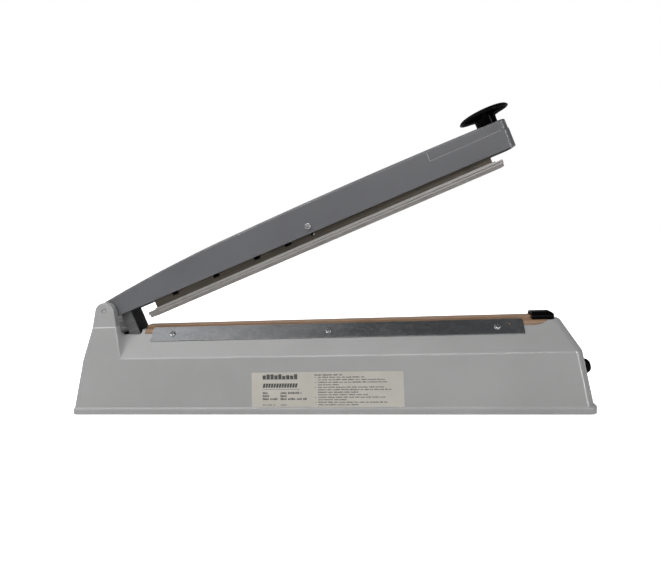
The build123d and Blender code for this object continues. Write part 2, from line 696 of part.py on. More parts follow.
def arm_hollow():
    """The space inside the arm, open below."""
    rise = ThreePointArc((0.0, 7.8), (60.0, 13.8), (150.0, 18.2))
    back = ThreePointArc((150.0, 18.2), (290.0, 19.4), (ARM_END - ARM_WALL, 16.8))
    end = ARM_END - ARM_WALL
    rear = ((4.0, -20), (-8.0, -4.0), (-8.0, 2.0), (-5.0, 6.0), (0.0, 7.8))
    close = Polyline((end, 16.8), (end, -20), *rear)
    outline = make_face([*rise.edges(), *back.edges(), *close.edges()])
    hollow = slab(Plane.XZ * outline, ARM_HALF - ARM_WALL)
    ends = [e for e in hollow.edges().filter_by(Axis.Z) if e.center().X > end - 1]
    return fillet(ends, ARM_CORNER - ARM_WALL)


def arm_form():
    """The arm's full outer form, rounded in plan at the free end and along its top."""
    form = slab(Plane.XZ * arm_outline(), ARM_HALF)
    ends = [e for e in form.edges().filter_by(Axis.Z) if e.center().X > ARM_END - 1]
    form = fillet(ends, ARM_CORNER)
    top = [e for e in form.edges() if e.center().Z > 9.5 and abs(abs(e.center().Y) - ARM_HALF) < 0.1]
    return fillet(top, 2.0)


def arm_cover(form, hollow):
    """The channel-shaped cover, with the seat for the handle base cut from its end."""
    seat = block((BASE_START, ARM_END + 5), (-20, 20), (BASE_SPLIT, 40))
    cover = form - hollow - seat
    cover -= rod((0, -20, 0), (0, 20, 0), 5.0)
    return cover - rod((SCREW_U, -20, SCREW_V), (SCREW_U, 20, SCREW_V), 2.0)


def handle_base():
    """The separate end cover that carries the handle, a little shorter than the arm's end."""
    gap = 0.3
    start, end, low = BASE_START + gap, ARM_END - 0.8, BASE_SPLIT + gap
    window = Pos((start + end) / 2, low + 10) * Rectangle(end - start, 20)
    base = slab(Plane.XZ * (arm_outline() & window), ARM_HALF)
    ends = [e for e in base.edges().filter_by(Axis.Z) if e.center().X > end - 1]
    base = fillet(ends, ARM_CORNER - 0.5)
    top = [e for e in base.edges() if e.center().Z > 15.0 and e.center().X > start + 1]
    base = fillet(top, 1.8)
    inner_u = (start + ARM_WALL, end - ARM_WALL)
    base -= block(inner_u, (-ARM_HALF + ARM_WALL, ARM_HALF - ARM_WALL), (0, 16.4))
    base += rod((HANDLE_U, 0, low), (HANDLE_U, 0, 18), 6.0)
    for side in (-1, 1):
        tongue = sorted((side * 13.0, side * (ARM_HALF - ARM_WALL - 0.1)))
        root = sorted((side * 13.0, side * (ARM_HALF - 1.0)))
        base += block((BASE_START + 6, ARM_END - 14), tongue, (4.5, 11.0))
        base += block((BASE_START + 6, ARM_END - 14), root, (BASE_SPLIT + 0.8, 12.0))
    base -= rod((HANDLE_U, 0, 17.6), (HANDLE_U, 0, 40), STEM_RADIUS)
    return base - rod((HANDLE_U, 0, 0), (HANDLE_U, 0, 40), 2.2)


def handle():
    """The press handle: a thin domed disc with ribs beneath, on a round stem."""
    stem = rod((HANDLE_U, 0, 17.6), (HANDLE_U, 0, 30.0), STEM_RADIUS)
    rim = HANDLE_RADIUS
    dome = make_face(
        [
            *ThreePointArc((0, HANDLE_TOP), (rim * 0.6, HANDLE_TOP - 1.6), (rim - 1.0, 32.2)).edges(),
            *ThreePointArc((rim - 1.0, 32.2), (rim, 31.2), (rim - 1.0, 30.4)).edges(),
            *ThreePointArc((rim - 1.0, 30.4), (rim * 0.6, 31.6), (0, 32.4)).edges(),
            *Line((0, 32.4), (0, HANDLE_TOP)).edges(),
        ]
    )
    disc = Pos(HANDLE_U, 0, 0) * revolve(Plane.XZ * dome, Axis.Z)
    knob = disc + stem + rod((HANDLE_U, 0, 29.0), (HANDLE_U, 0, 33.0), STEM_RADIUS)
    corners = [(8, 27.0), (11, 27.0), (rim - 2.0, 30.6), (rim - 2.0, 31.4), (8, 32.8)]
    rib = extrude(Plane.XZ * make_face(Polyline(*corners, close=True)), 0.7, both=True)
    for i in range(12):
        knob += Pos(HANDLE_U, 0, 0) * Rot(0, 0, 30 * i + 15) * rib
    return knob - rod((HANDLE_U, 0, 10), (HANDLE_U, 0, 29), 1.8)


def handle_screw():
    """The screw that pulls the handle down on its base."""
    up = Pos(HANDLE_U, 0, BASE_SPLIT + 0.3) * Rot(180, 0, 0)
    return up * screw(1.8, 4.0, 2.0, 18.0)


def arm_bracket():
    """The steel channel inside the hinge end, which joins cover, leg and pin."""
    outer = ARM_HALF - ARM_WALL - 0.1
    t = 1.5
    bracket = block((6.0, 44.0), (-outer, outer), (3.9, 3.9 + t))
    for side in (-1, 1):
        y = sorted((side * (outer - t), side * outer))
        cheek = block((0, 44.0), y, (-7.0, 3.9 + t)) + rod((0, y[0], 0), (0, y[1], 0), 6.2)
        bracket += cheek
    return bracket - rod((0, -20, 0), (0, 20, 0), 5.0)


def hinge_bush(side):
    """A flanged bush that carries the arm on the hinge pin."""
    inner, outer = ARM_HALF - ARM_WALL - 1.6, ARM_HALF
    barrel = rod((0, side * inner, 0), (0, side * outer, 0), 5.0)
    flange = rod((0, side * outer, 0), (0, side * (outer + 0.8), 0), 7.0)
    return barrel + flange - rod((0, -20, 0), (0, 20, 0), PIN_RADIUS + RUNNING)


def arm_leg():
    """The channel leg that reaches down into the base, open towards the handle."""
    t = SHEET_METAL
    v = (LEG_BOTTOM, 3.8)
    leg = block((LEG_START, LEG_START + t), (-LEG_HALF, LEG_HALF), v)
    for side in (-1, 1):
        y = sorted((side * (LEG_HALF - t), side * LEG_HALF))
        leg += block((LEG_START, LEG_END), y, v)
    u, v = LEG_HOOK
    return leg - rod((u, -20, v), (u, 20, v), 1.5)


def leg_pin():
    """The cross pin that the return spring hooks on."""
    u, v = LEG_HOOK
    return rod((u, -LEG_HALF - 0.6, v), (u, LEG_HALF + 0.6, v), 1.5)


def pivot_screw():
    """The screw across the arm that carries the press bar."""
    shank = rod((SCREW_U, -ARM_HALF, SCREW_V), (SCREW_U, ARM_HALF + 4.0, SCREW_V), 2.0)
    face = Plane(origin=(SCREW_U, -ARM_HALF, SCREW_V), x_dir=(1, 0, 0), z_dir=(0, -1, 0))
    return shank + face * pan_head(3.4, 1.9)


def pivot_nut():
    """The nut at the back of the arm."""
    face = Plane(origin=(SCREW_U, ARM_HALF, SCREW_V), x_dir=(1, 0, 0), z_dir=(0, 1, 0))
    return extrude(face * RegularPolygon(4.0, 6), 3.2) - extrude(face * Circle(2.0), 3.2)


def pivot_sleeve(side):
    """A spacer between the arm's wall and the press bar's channel."""
    start, end = CHANNEL_HALF + 0.3, ARM_HALF - ARM_WALL
    sleeve = rod((SCREW_U, side * start, SCREW_V), (SCREW_U, side * end, SCREW_V), 3.6)
    return sleeve - rod((SCREW_U, -20, SCREW_V), (SCREW_U, 20, SCREW_V), 2.0)


# ---------------------------------------------------------------- press bar

def press_channel():
    """The steel channel between arm and profile, open above, with notches in its front side."""
    t = SHEET_METAL
    top = 3.0
    channel = block(CHANNEL, (-CHANNEL_HALF, CHANNEL_HALF), (PROFILE_TOP, PROFILE_TOP + t))
    for side in (-1, 1):
        y = sorted((side * (CHANNEL_HALF - t), side * CHANNEL_HALF))
        channel += block(CHANNEL, y, (PROFILE_TOP, top))
    for u in NOTCHES:
        channel -= block((u - 3.8, u + 3.8), (-20, 0), (-12.6, -6.0))
    for u in PROFILE_SCREWS:
        channel -= rod((u, 0, PROFILE_TOP - 1), (u, 0, PROFILE_TOP + 3), 1.4)
    channel -= rod((SCREW_U, -20, SCREW_V), (SCREW_U, 20, SCREW_V), 2.0 + RUNNING)
    return channel - rod((SCREW_U, -20, -11.2), (SCREW_U, 20, -11.2), 1.9)


def press_profile():
    """The aluminium profile with a stepped top and a groove along each side."""
    step = block(PROFILE_STEP, (-9.6, 9.6), (-18.4, PROFILE_TOP))
    body = block(PROFILE, (-PROFILE_HALF, PROFILE_HALF), (SILICONE_TOP, -18.4))
    for side in (-1, 1):
        groove = Rot(45, 0, 0) * Box(500, 0.9, 0.9)
        body -= Pos(245, side * PROFILE_HALF, -20.4) * groove
    profile = step + body
    for u in PROFILE_SCREWS:
        profile -= rod((u, 0, -21.5), (u, 0, 0), 1.4)
    return profile


PROFILE_SCREWS = tuple(70.0 + 70.0 * i for i in range(6))


def profile_screw(u):
    """A screw from inside the channel down into the profile."""
    return Pos(u, 0, PROFILE_TOP + SHEET_METAL) * screw(1.4, 3.0, 1.6, 5.0)


def silicone_strip():
    """The rubber facing under the profile, with rounded lower edges."""
    u = (PROFILE[0] + 0.6, PROFILE[1] - 0.6)
    strip = block(u, (-9.8, 9.8), (BAR_BOTTOM, SILICONE_TOP))
    low = [e for e in strip.edges().filter_by(Axis.X) if e.center().Z < BAR_BOTTOM + 0.1]
    return fillet(low, 1.2)


# ---------------------------------------------------------------- assembly

def write_base():
    """The base and everything fixed to it."""
    shell = base_housing()
    above = block((-300, HINGE_SPLIT_X), (-60, 60), (CREASE_Z, 200))
    save("hinge_housing", shell & above)
    save("base_housing", shell - above)
    save("bottom_plate", bottom_plate())
    save("bottom_screws", *[bottom_screw(x, y) for x, y in BOSS_PLACES])
    save("rubber_feet", *[rubber_foot(x, y) for x, y in FOOT_PLACES])
    save("hinge_pin", hinge_pin())
    save("element_bar", element_bar())
    save("element_insulation", element_insulation())
    save("heating_element", heating_element())
    save("ptfe_sheet", ptfe_sheet())
    save("front_clamp_strip", clamp_strip(-1))
    save("rear_clamp_strip", clamp_strip(1))
    save("clamp_screws", *[strip_screw(side, x) for side in (-1, 1) for x in STRIP_SCREWS])
    save("end_cap", end_cap())
    save("rating_label", rating_label())


def hinge_pin():
    """The steel pin across both ears, its ends just below their faces."""
    end = EAR_OUTER - 0.5
    pin = rod((PIVOT[0], -end, PIVOT[1]), (PIVOT[0], end, PIVOT[1]), PIN_RADIUS)
    rims = [e for e in pin.edges().filter_by(GeomType.CIRCLE)]
    return chamfer(rims, 0.5)


def element_insulation():
    """The woven insulating tape between bar and element."""
    return block(BAR_ENDS, (-BAR_HALF, BAR_HALF), (BAR_TOP, BAR_TOP + INSULATION))


def rating_label():
    """The plain printed label on the front face."""
    left, right, low, high = LABEL
    middle = (low + high) / 2
    lean = front_plane(0, middle).z_dir.Z
    height = (high - low) / cos(asin(lean))
    outline = RectangleRounded(right - left, height, 1.0)
    return extrude(front_plane((left + right) / 2, middle) * outline, 0.2)


def write_electrics():
    """Transformer, timer, lamp, gland and terminals."""
    save("transformer_core", transformer_core())
    save("transformer_coil", transformer_coil())
    save("transformer_strap", transformer_strap())
    z = PLATE_SEAT_Z + SHEET_METAL
    save("plate_screws", *[Pos(x, 0, z) * screw(2.0, 3.8, 2.2, 2.4) for x in PLATE_SCREWS])
    save("timer_board", timer_board())
    save("board_components", *board_components())
    save("board_posts", *[board_post(x, y) for x, y in STANDOFFS])
    save("timer_control", timer_pot())
    save("control_nut", pot_nut())
    save("indicator_lamp", indicator_lamp())
    save("lamp_lens", lamp_lens())
    save("cord_gland", cord_gland())
    left, right = [terminal(*row) for row in zip(TERMINAL_X, TERMINAL_Z, TERMINAL_HEIGHT)]
    save("terminal_left", left)
    save("terminal_right", right)
    save("terminal_spacer", block((-193, -185), (-5, 5), (83.0, DECK_Z - WALL - 0.2)))
    on_top = Pos(TERMINAL_X[1] + 2.5, 0, BAR_TOP + INSULATION + RIBBON)
    below = Pos(TERMINAL_X[0] + 2.5, 0, TERMINAL_Z[0]) * Rot(180, 0, 0)
    save("terminal_screws", on_top * screw(1.5, 2.5, 1.3, 2.8), below * screw(1.5, 2.5, 1.3, 5.5))


def write_mechanism():
    """Switch, lever, spring and their brackets, and the turning timer knob."""
    save("microswitch", microswitch())
    save("switch_bracket", switch_bracket())
    save("switch_lever", switch_lever())
    save("spring_anchor", spring_anchor())
    save("anchor_pin", rod((ANCHOR[0], -7.8, ANCHOR[1]), (ANCHOR[0], 7.8, ANCHOR[1]), 1.5))
    save("return_spring", return_spring())
    save("timer_knob", timer_knob())
    save("control_shaft", pot_shaft())


def write_arm():
    """The arm, its handle and its hinge parts."""
    form, hollow = arm_form(), arm_hollow()
    save("arm_cover", in_arm(arm_cover(form, hollow)))
    save("handle_base", in_arm(handle_base()))
    save("press_handle", in_arm(handle()))
    save("handle_screw", in_arm(handle_screw()))
    save("arm_bracket", in_arm(arm_bracket()))
    save("hinge_bushes", *[in_arm(hinge_bush(side)) for side in (-1, 1)])
    save("arm_leg", in_arm(arm_leg()))
    save("leg_pin", in_arm(leg_pin()))
    save("pivot_screw", in_arm(pivot_screw()))
    save("pivot_nut", in_arm(pivot_nut()))
    save("pivot_sleeves", *[in_arm(pivot_sleeve(side)) for side in (-1, 1)])


def write_press_bar():
    """The press bar, which hangs on the pivot screw."""
    save("press_channel", in_arm(tilted(press_channel())))
    save("press_profile", in_arm(tilted(press_profile())))
    save("silicone_strip", in_arm(tilted(silicone_strip())))
    save("profile_screws", *[in_arm(tilted(profile_screw(u))) for u in PROFILE_SCREWS])


os.makedirs("parts", exist_ok=True)
write_base()
write_electrics()
write_mechanism()
write_arm()
write_press_bar()
print("closed tilt", round(CLOSED_TILT, 4), "swing", round(ARM_SWING, 4))
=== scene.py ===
import json
import math
import random

import bmesh
import bpy
from mathutils import Matrix, Vector, noise


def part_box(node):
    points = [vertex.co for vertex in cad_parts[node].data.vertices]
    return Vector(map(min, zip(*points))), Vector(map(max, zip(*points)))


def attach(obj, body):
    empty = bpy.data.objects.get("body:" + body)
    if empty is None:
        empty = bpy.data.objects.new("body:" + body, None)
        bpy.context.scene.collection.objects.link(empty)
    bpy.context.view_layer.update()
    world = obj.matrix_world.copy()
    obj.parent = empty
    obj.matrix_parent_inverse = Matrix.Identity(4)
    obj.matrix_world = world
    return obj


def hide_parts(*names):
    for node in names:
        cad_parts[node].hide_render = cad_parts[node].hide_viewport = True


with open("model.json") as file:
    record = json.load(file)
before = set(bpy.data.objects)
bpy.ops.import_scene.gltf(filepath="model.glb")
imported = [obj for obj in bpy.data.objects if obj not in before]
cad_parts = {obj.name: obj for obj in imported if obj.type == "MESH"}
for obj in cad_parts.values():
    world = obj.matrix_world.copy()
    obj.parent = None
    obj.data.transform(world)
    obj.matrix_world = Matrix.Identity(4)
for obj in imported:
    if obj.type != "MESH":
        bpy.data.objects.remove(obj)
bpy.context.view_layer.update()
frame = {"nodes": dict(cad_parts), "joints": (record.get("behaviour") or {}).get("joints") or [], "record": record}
nodes = frame["nodes"]

MM = 0.001

# How far the base's upper faces run out, and how much they drop, in millimetres.
UPPER_SLOPE = (22.4, 28.6)
# The arm's rest angle in degrees.
ARM_OPEN = 20.0


# ------------------------------------------------------------------ camera and light

CAMERA_PLACE = (0.0924, -0.5501, 0.1856)
CAMERA_YAW, CAMERA_PITCH, CAMERA_ROLL = 8.0756, 5.1871, -2.8363
SENSOR_WIDTH = 36.0
FOCAL_LENGTH = 27.88
CLIP_NEAR, CLIP_FAR = 0.01, 50


def make_camera():
    """A camera in front of the machine, a little above the deck and turned to the left."""
    yaw, pitch, roll = (math.radians(a) for a in (CAMERA_YAW, CAMERA_PITCH, CAMERA_ROLL))
    forward = Vector(
        (-math.sin(yaw) * math.cos(pitch), math.cos(yaw) * math.cos(pitch), -math.sin(pitch))
    )
    right = Vector((math.cos(yaw), math.sin(yaw), 0))
    up = right.cross(forward)
    turned_right = math.cos(roll) * right + math.sin(roll) * up
    turned_up = -math.sin(roll) * right + math.cos(roll) * up
    data = bpy.data.cameras.new("camera")
    data.sensor_width = SENSOR_WIDTH
    data.lens = FOCAL_LENGTH
    data.clip_start, data.clip_end = CLIP_NEAR, CLIP_FAR
    camera = bpy.data.objects.new("camera", data)
    bpy.context.scene.collection.objects.link(camera)
    turn = Matrix((turned_right, turned_up, -forward)).transposed().to_4x4()
    camera.matrix_world = Matrix.Translation(CAMERA_PLACE) @ turn
    bpy.context.scene.camera = camera


def area_light(name, place, target, size, power, colour=(1, 1, 1), mirrored=False, lights=True):
    """A soft rectangular light that faces a target; some show in reflections, some light surfaces."""
    data = bpy.data.lights.new(name, "AREA")
    data.shape = "RECTANGLE"
    data.size, data.size_y = size
    data.energy = power
    data.color = colour
    light = bpy.data.objects.new(name, data)
    bpy.context.scene.collection.objects.link(light)
    direction = Vector(target) - Vector(place)
    light.rotation_euler = direction.to_track_quat("-Z", "Y").to_euler()
    light.location = place
    light.visible_glossy = mirrored
    light.visible_diffuse = lights


def make_lights():
    """Soft lights from the left, front and back, and two narrow ones that only draw highlights."""
    area_light("key", (-0.50, -0.70, 1.35), (-0.05, 0, 0.10), (1.4, 0.7), 17.0)
    area_light("front", (0.25, -1.9, 0.75), (0, 0, 0.10), (1.8, 0.9), 2.6, (1.0, 0.99, 0.97))
    area_light("back", (0.3, 1.5, 1.1), (0, 0, 0.1), (1.6, 0.8), 9.0)
    highlight = {"mirrored": True, "lights": False}
    area_light("crease", (-0.45, -1.24, 0.96), (0, 0, 0.06), (2.6, 0.12), 16.0, **highlight)
    area_light("corner", (1.1, -1.0, 0.35), (0.2, 0, 0.2), (0.10, 1.2), 9.0, **highlight)


# What shiny surfaces reflect of the studio: its brightness falls off from left to right, between
# two values of the direction's X, and starts from the horizon's, between two values of its Z.
SIDE_TURN = (-0.55, -0.03)
SIDE_LIGHT = (0.62, 0.075)
TOP_TURN = (0.25, 0.65)
HORIZON_LIGHT = 0.34
# What dull surfaces receive from all round.
FILL_COLOUR = (0.98, 0.99, 1.0, 1)
FILL_STRENGTH = 0.23


def set_range(node, low, high, new_low=0.0, new_high=1.0):
    """Set the two ranges of a map range node."""
    names = ("From Min", "From Max", "To Min", "To Max")
    for name, number in zip(names, (low, high, new_low, new_high)):
        node.inputs[name].default_value = number


def make_world():
    """A pale studio: white to the camera, even on dull surfaces, darker to the right on shiny ones."""
    world = bpy.data.worlds.new("studio")
    bpy.context.scene.world = world
    world.use_nodes = True
    tree = world.node_tree
    tree.nodes.clear()
    link = tree.links.new
    output = tree.nodes.new("ShaderNodeOutputWorld")
    place = tree.nodes.new("ShaderNodeTexCoord")
    split = tree.nodes.new("ShaderNodeSeparateXYZ")
    link(place.outputs["Generated"], split.inputs[0])
    across = tree.nodes.new("ShaderNodeMapRange")
    across.interpolation_type = "SMOOTHSTEP"
    set_range(across, *SIDE_TURN, *SIDE_LIGHT)
    link(split.outputs["X"], across.inputs["Value"])
    height = tree.nodes.new("ShaderNodeMapRange")
    set_range(height, *TOP_TURN)
    link(split.outputs["Z"], height.inputs["Value"])
    ramp = tree.nodes.new("ShaderNodeMix")
    ramp.inputs["A"].default_value = HORIZON_LIGHT
    link(height.outputs["Result"], ramp.inputs["Factor"])
    link(across.outputs["Result"], ramp.inputs["B"])
    reflected = tree.nodes.new("ShaderNodeBackground")
    link(ramp.outputs["Result"], reflected.inputs["Color"])
    diffuse = tree.nodes.new("ShaderNodeBackground")
    diffuse.inputs["Color"].default_value = FILL_COLOUR
    diffuse.inputs["Strength"].default_value = FILL_STRENGTH
    seen = tree.nodes.new("ShaderNodeBackground")
    seen.inputs["Color"].default_value = (1, 1, 1, 1)
    rays = tree.nodes.new("ShaderNodeLightPath")
    first = tree.nodes.new("ShaderNodeMixShader")
    link(rays.outputs["Is Glossy Ray"], first.inputs[0])
    link(diffuse.outputs[0], first.inputs[1])
    link(reflected.outputs[0], first.inputs[2])
    second = tree.nodes.new("ShaderNodeMixShader")
    link(rays.outputs["Is Camera Ray"], second.inputs[0])
    link(first.outputs[0], second.inputs[1])
    link(seen.outputs[0], second.inputs[2])
    link(second.outputs[0], output.inputs["Surface"])


FLOOR_REACH = 6.0
FLOOR_DROP = 0.0002
FLOOR_TINT = (0.93, 0.93, 0.93, 1)
# The floor's glow on surfaces, and to the camera.
FLOOR_GLOW = (0.05, 0.95)


def make_floor():
    """A plain pale floor under the feet."""
    bm = bmesh.new()
    bmesh.ops.create_grid(bm, x_segments=1, y_segments=1, size=FLOOR_REACH)
    floor = piece_from(bm, "floor", None)
    floor.location.z = -FLOOR_DROP
    material = bpy.data.materials.new("floor_white")
    material.use_nodes = True
    shader = material.node_tree.nodes["Principled BSDF"]
    shader.inputs["Base Color"].default_value = FLOOR_TINT
    shader.inputs["Roughness"].default_value = 0.9
    shader.inputs["Specular IOR Level"].default_value = 0.1
    shader.inputs["Emission Color"].default_value = (1, 1, 1, 1)
    rays = material.node_tree.nodes.new("ShaderNodeLightPath")
    glow = material.node_tree.nodes.new("ShaderNodeMapRange")
    set_range(glow, 0.0, 1.0, *FLOOR_GLOW)
    material.node_tree.links.new(rays.outputs["Is Camera Ray"], glow.inputs["Value"])
    material.node_tree.links.new(glow.outputs["Result"], shader.inputs["Emission Strength"])
    floor.data.materials.append(material)


# ------------------------------------------------------------------ materials

# The hinge housing meets the base at this height, left of this X, in millimetres. No edge is
# shaded round, or lightened with painted highlight and wear, within a reach of that seam, because the two are one
# smooth casing.
SEAM_X = -217.5
SEAM_Z = 60.0
SEAM_REACH = 2.3
# The end block's top ridge, its right end, and the X of its upright edge at the seam's height, in
# millimetres, with half the width of the painted highlight line along them.
RIDGE_Z = 94.6
RIDGE_RIGHT = -225.5
UPRIGHT_FOOT = -220.0
UPRIGHT_START = 3.0
RIDGE_HALF = 0.55
RIDGE_HIGHLIGHT = 0.8

# A mix node's numbered sockets, which share their names.
COLOUR_INPUTS, COLOUR_OUTPUT = (6, 7), 2
VECTOR_INPUTS, VECTOR_OUTPUT = (4, 5), 1
# How far a rounded normal is from the flat one, as their dot product, off an edge and on it.
EDGE_TURN = (0.9992, 0.97)
# The bands of a wave texture are this far apart at a scale of 1.
WAVE_LENGTH = 0.31415


class Paint:
    """A principled material whose patterns are placed in the machine's own space."""

    def __init__(self, name, **constants):
        self.material = bpy.data.materials.new(name)
        self.material.use_nodes = True
        self.tree = self.material.node_tree
        self.shader = self.tree.nodes["Principled BSDF"]
        for socket, value in constants.items():
            self.shader.inputs[socket.replace("_", " ")].default_value = value
        self.place = self.tree.nodes.new("ShaderNodeTexCoord").outputs["Object"]
        self.normal = None

    def node(self, kind, **settings):
        """A new node with its settings."""
        made = self.tree.nodes.new(kind)
        for name, value in settings.items():
            setattr(made, name, value)
        return made

    def link(self, source, target):
        """Join two sockets."""
        self.tree.links.new(source, target)

    def stretched(self, stretch, turn=0.0):
        """Coordinates turned about Y by some degrees, then stretched along each axis."""
        turned = self.node("ShaderNodeMapping")
        turned.inputs["Rotation"].default_value = (0, math.radians(turn), 0)
        self.link(self.place, turned.inputs["Vector"])
        mapping = self.node("ShaderNodeMapping")
        mapping.inputs["Scale"].default_value = stretch
        self.link(turned.outputs[0], mapping.inputs["Vector"])
        return mapping.outputs[0]

    def noise(self, scale, detail=4.0, rough=0.55, stretch=(1, 1, 1), turn=0.0):
        """Soft noise, from 0 to 1."""
        made = self.node("ShaderNodeTexNoise")
        made.inputs["Scale"].default_value = scale
        made.inputs["Detail"].default_value = detail
        made.inputs["Roughness"].default_value = rough
        self.link(self.stretched(stretch, turn), made.inputs["Vector"])
        return made.outputs["Fac"]

    def cells(self, scale, stretch=(1, 1, 1)):
        """A random tint for each Voronoi cell, from 0 to 1."""
        made = self.node("ShaderNodeTexVoronoi")
        made.inputs["Scale"].default_value = scale
        self.link(self.stretched(stretch), made.inputs["Vector"])
        tint = self.node("ShaderNodeSeparateColor")
        self.link(made.outputs["Color"], tint.inputs[0])
        return tint.outputs[0]

    def fit(self, value, low, high, new_low=0.0, new_high=1.0):
        """A value moved from one range into another, and clamped."""
        made = self.node("ShaderNodeMapRange")
        set_range(made, low, high, new_low, new_high)
        self.link(value, made.inputs["Value"])
        return made.outputs["Result"]

    def maths(self, operation, *values):
        """Arithmetic on two or three values, each a socket or a number."""
        made = self.node("ShaderNodeMath", operation=operation)
        for socket, value in zip(made.inputs, values):
            if isinstance(value, (int, float)):
                socket.default_value = value
            else:
                self.link(value, socket)
        return made.outputs[0]

    def mix(self, factor, first, second):
        """A colour mixed from two, each a socket or three numbers."""
        made = self.node("ShaderNodeMix", data_type="RGBA")
        self.link(factor, made.inputs["Factor"])
        for number, value in zip(COLOUR_INPUTS, (first, second)):
            if isinstance(value, tuple):
                made.inputs[number].default_value = (*value, 1)
            else:
                self.link(value, made.inputs[number])
        return made.outputs[COLOUR_OUTPUT]

    def rounded_edges(self, radius, share=None):
        """Shade sharp edges as if rounded by a radius in metres, where a 0 to 1 share says so."""
        bevel = self.node("ShaderNodeBevel", samples=8)
        bevel.inputs["Radius"].default_value = radius
        self.normal = bevel.outputs[0]
        if share is not None:
            flat = self.node("ShaderNodeNewGeometry")
            blend = self.node("ShaderNodeMix", data_type="VECTOR")
            self.link(share, blend.inputs["Factor"])
            normals = (flat.outputs["Normal"], bevel.outputs[0])
            for number, normal in zip(VECTOR_INPUTS, normals):
                self.link(normal, blend.inputs[number])
            self.normal = blend.outputs[VECTOR_OUTPUT]

    def off_seam(self):
        """0 on the seam between the base and the hinge housing, and 1 elsewhere."""
        reach = SEAM_REACH * MM
        x, z = self.along("X"), self.along("Z")
        beside = self.maths("LESS_THAN", x, SEAM_X * MM + reach)
        level = self.maths("COMPARE", z, SEAM_Z * MM, reach)
        upright = self.maths("COMPARE", x, SEAM_X * MM, reach)
        above = self.maths("GREATER_THAN", z, SEAM_Z * MM - reach)
        on_level = self.maths("MULTIPLY", beside, level)
        on_upright = self.maths("MULTIPLY", upright, above)
        return self.maths("SUBTRACT", 1.0, self.maths("MAXIMUM", on_level, on_upright))

    def edges(self, radius):
        """A mask that is 1 along sharp edges, within a radius in metres."""
        bevel = self.node("ShaderNodeBevel", samples=4)
        bevel.inputs["Radius"].default_value = radius
        geometry = self.node("ShaderNodeNewGeometry")
        dot = self.node("ShaderNodeVectorMath", operation="DOT_PRODUCT")
        self.link(bevel.outputs[0], dot.inputs[0])
        self.link(geometry.outputs["Normal"], dot.inputs[1])
        return self.fit(dot.outputs["Value"], *EDGE_TURN)

    def along(self, axis):
        """The coordinate along one axis of the machine, in metres."""
        split = self.node("ShaderNodeSeparateXYZ")
        self.link(self.place, split.inputs[0])
        return split.outputs["XYZ".index(axis)]

    def highlight_ridge_mask(self):
        """1 on the end block's top ridge and on its upright edge, where a highlight line is painted."""
        x, z = self.along("X"), self.along("Z")
        top, right, half = RIDGE_Z * MM, RIDGE_RIGHT * MM, RIDGE_HALF * MM
        on_top = self.maths("COMPARE", z, top, half)
        on_top = self.maths("MULTIPLY", on_top, self.maths("LESS_THAN", x, right + half))
        lean = (UPRIGHT_FOOT - RIDGE_RIGHT) / (RIDGE_Z - SEAM_Z)
        line = self.maths("SUBTRACT", right + lean * top, self.maths("MULTIPLY", z, lean))
        off_line = self.maths("ABSOLUTE", self.maths("SUBTRACT", x, line))
        upright = self.maths("LESS_THAN", off_line, half)
        above_foot = self.maths("GREATER_THAN", z, (SEAM_Z + UPRIGHT_START) * MM)
        upright = self.maths("MULTIPLY", upright, above_foot)
        upright = self.maths("MULTIPLY", upright, self.maths("LESS_THAN", z, top))
        return self.maths("MAXIMUM", on_top, upright)

    def colour(self, source):
        """Set the base colour from a socket."""
        self.link(source, self.shader.inputs["Base Color"])

    def roughness(self, value, low, high):
        """Let the roughness follow a 0 to 1 value."""
        self.link(self.fit(value, 0.2, 0.8, low, high), self.shader.inputs["Roughness"])

    def bump(self, height, distance, strength=1.0):
        """Add relief of a height in metres."""
        made = self.node("ShaderNodeBump")
        made.inputs["Strength"].default_value = strength
        made.inputs["Distance"].default_value = distance
        self.link(height, made.inputs["Height"])
        if self.normal is not None:
            self.link(self.normal, made.inputs["Normal"])
        self.normal = made.outputs[0]
        self.link(self.normal, self.shader.inputs["Normal"])


def scaled(tint, share):
    """A tint made darker or lighter by a share."""
    return tuple(c * share for c in tint)


def moulded(name, dark, light, roughness, edge_highlight_colour=None, coat=0.0, round_off=0.0, seam=False):
    """Painted or moulded plastic: fine grain, soft shade changes, and edges made lighter, partly as wear and
    partly as a painted highlight; on the base also a painted highlight line on the end block's ridge.
    """
    paint = Paint(name, Specular_IOR_Level=0.5, Coat_Weight=coat, Coat_Roughness=0.1)
    shown = paint.off_seam() if seam else None
    if round_off:
        paint.rounded_edges(round_off, shown)
    clouds = paint.noise(scale=9.0, detail=5.0)
    grain = paint.noise(scale=1400.0, detail=2.0)
    base = paint.mix(paint.fit(clouds, 0.3, 0.7), dark, light)
    specks = paint.fit(paint.noise(scale=520.0, detail=2.0), 0.72, 0.80)
    base = paint.mix(paint.maths("MULTIPLY", specks, 0.35), base, scaled(dark, 0.72))
    # Edges lightened from a bevel mask: partly wear, partly a painted highlight along the edges.
    if edge_highlight_colour:
        patchy = paint.fit(paint.noise(scale=60.0), 0.25, 0.7, 0.55, 0.9)
        lightened_edges = paint.maths("MULTIPLY", paint.edges(radius=0.0007), patchy)
        if seam:
            lightened_edges = paint.maths("MULTIPLY", lightened_edges, shown)
            # A painted highlight line along the end block's top ridge and upright edge.
            ridge_highlight = paint.maths("MULTIPLY", paint.highlight_ridge_mask(), RIDGE_HIGHLIGHT)
            lightened_edges = paint.maths("MAXIMUM", lightened_edges, ridge_highlight)
        base = paint.mix(lightened_edges, base, edge_highlight_colour)
    paint.colour(base)
    paint.roughness(clouds, roughness - 0.05, roughness + 0.06)
    paint.bump(grain, distance=0.00003)
    return paint.material


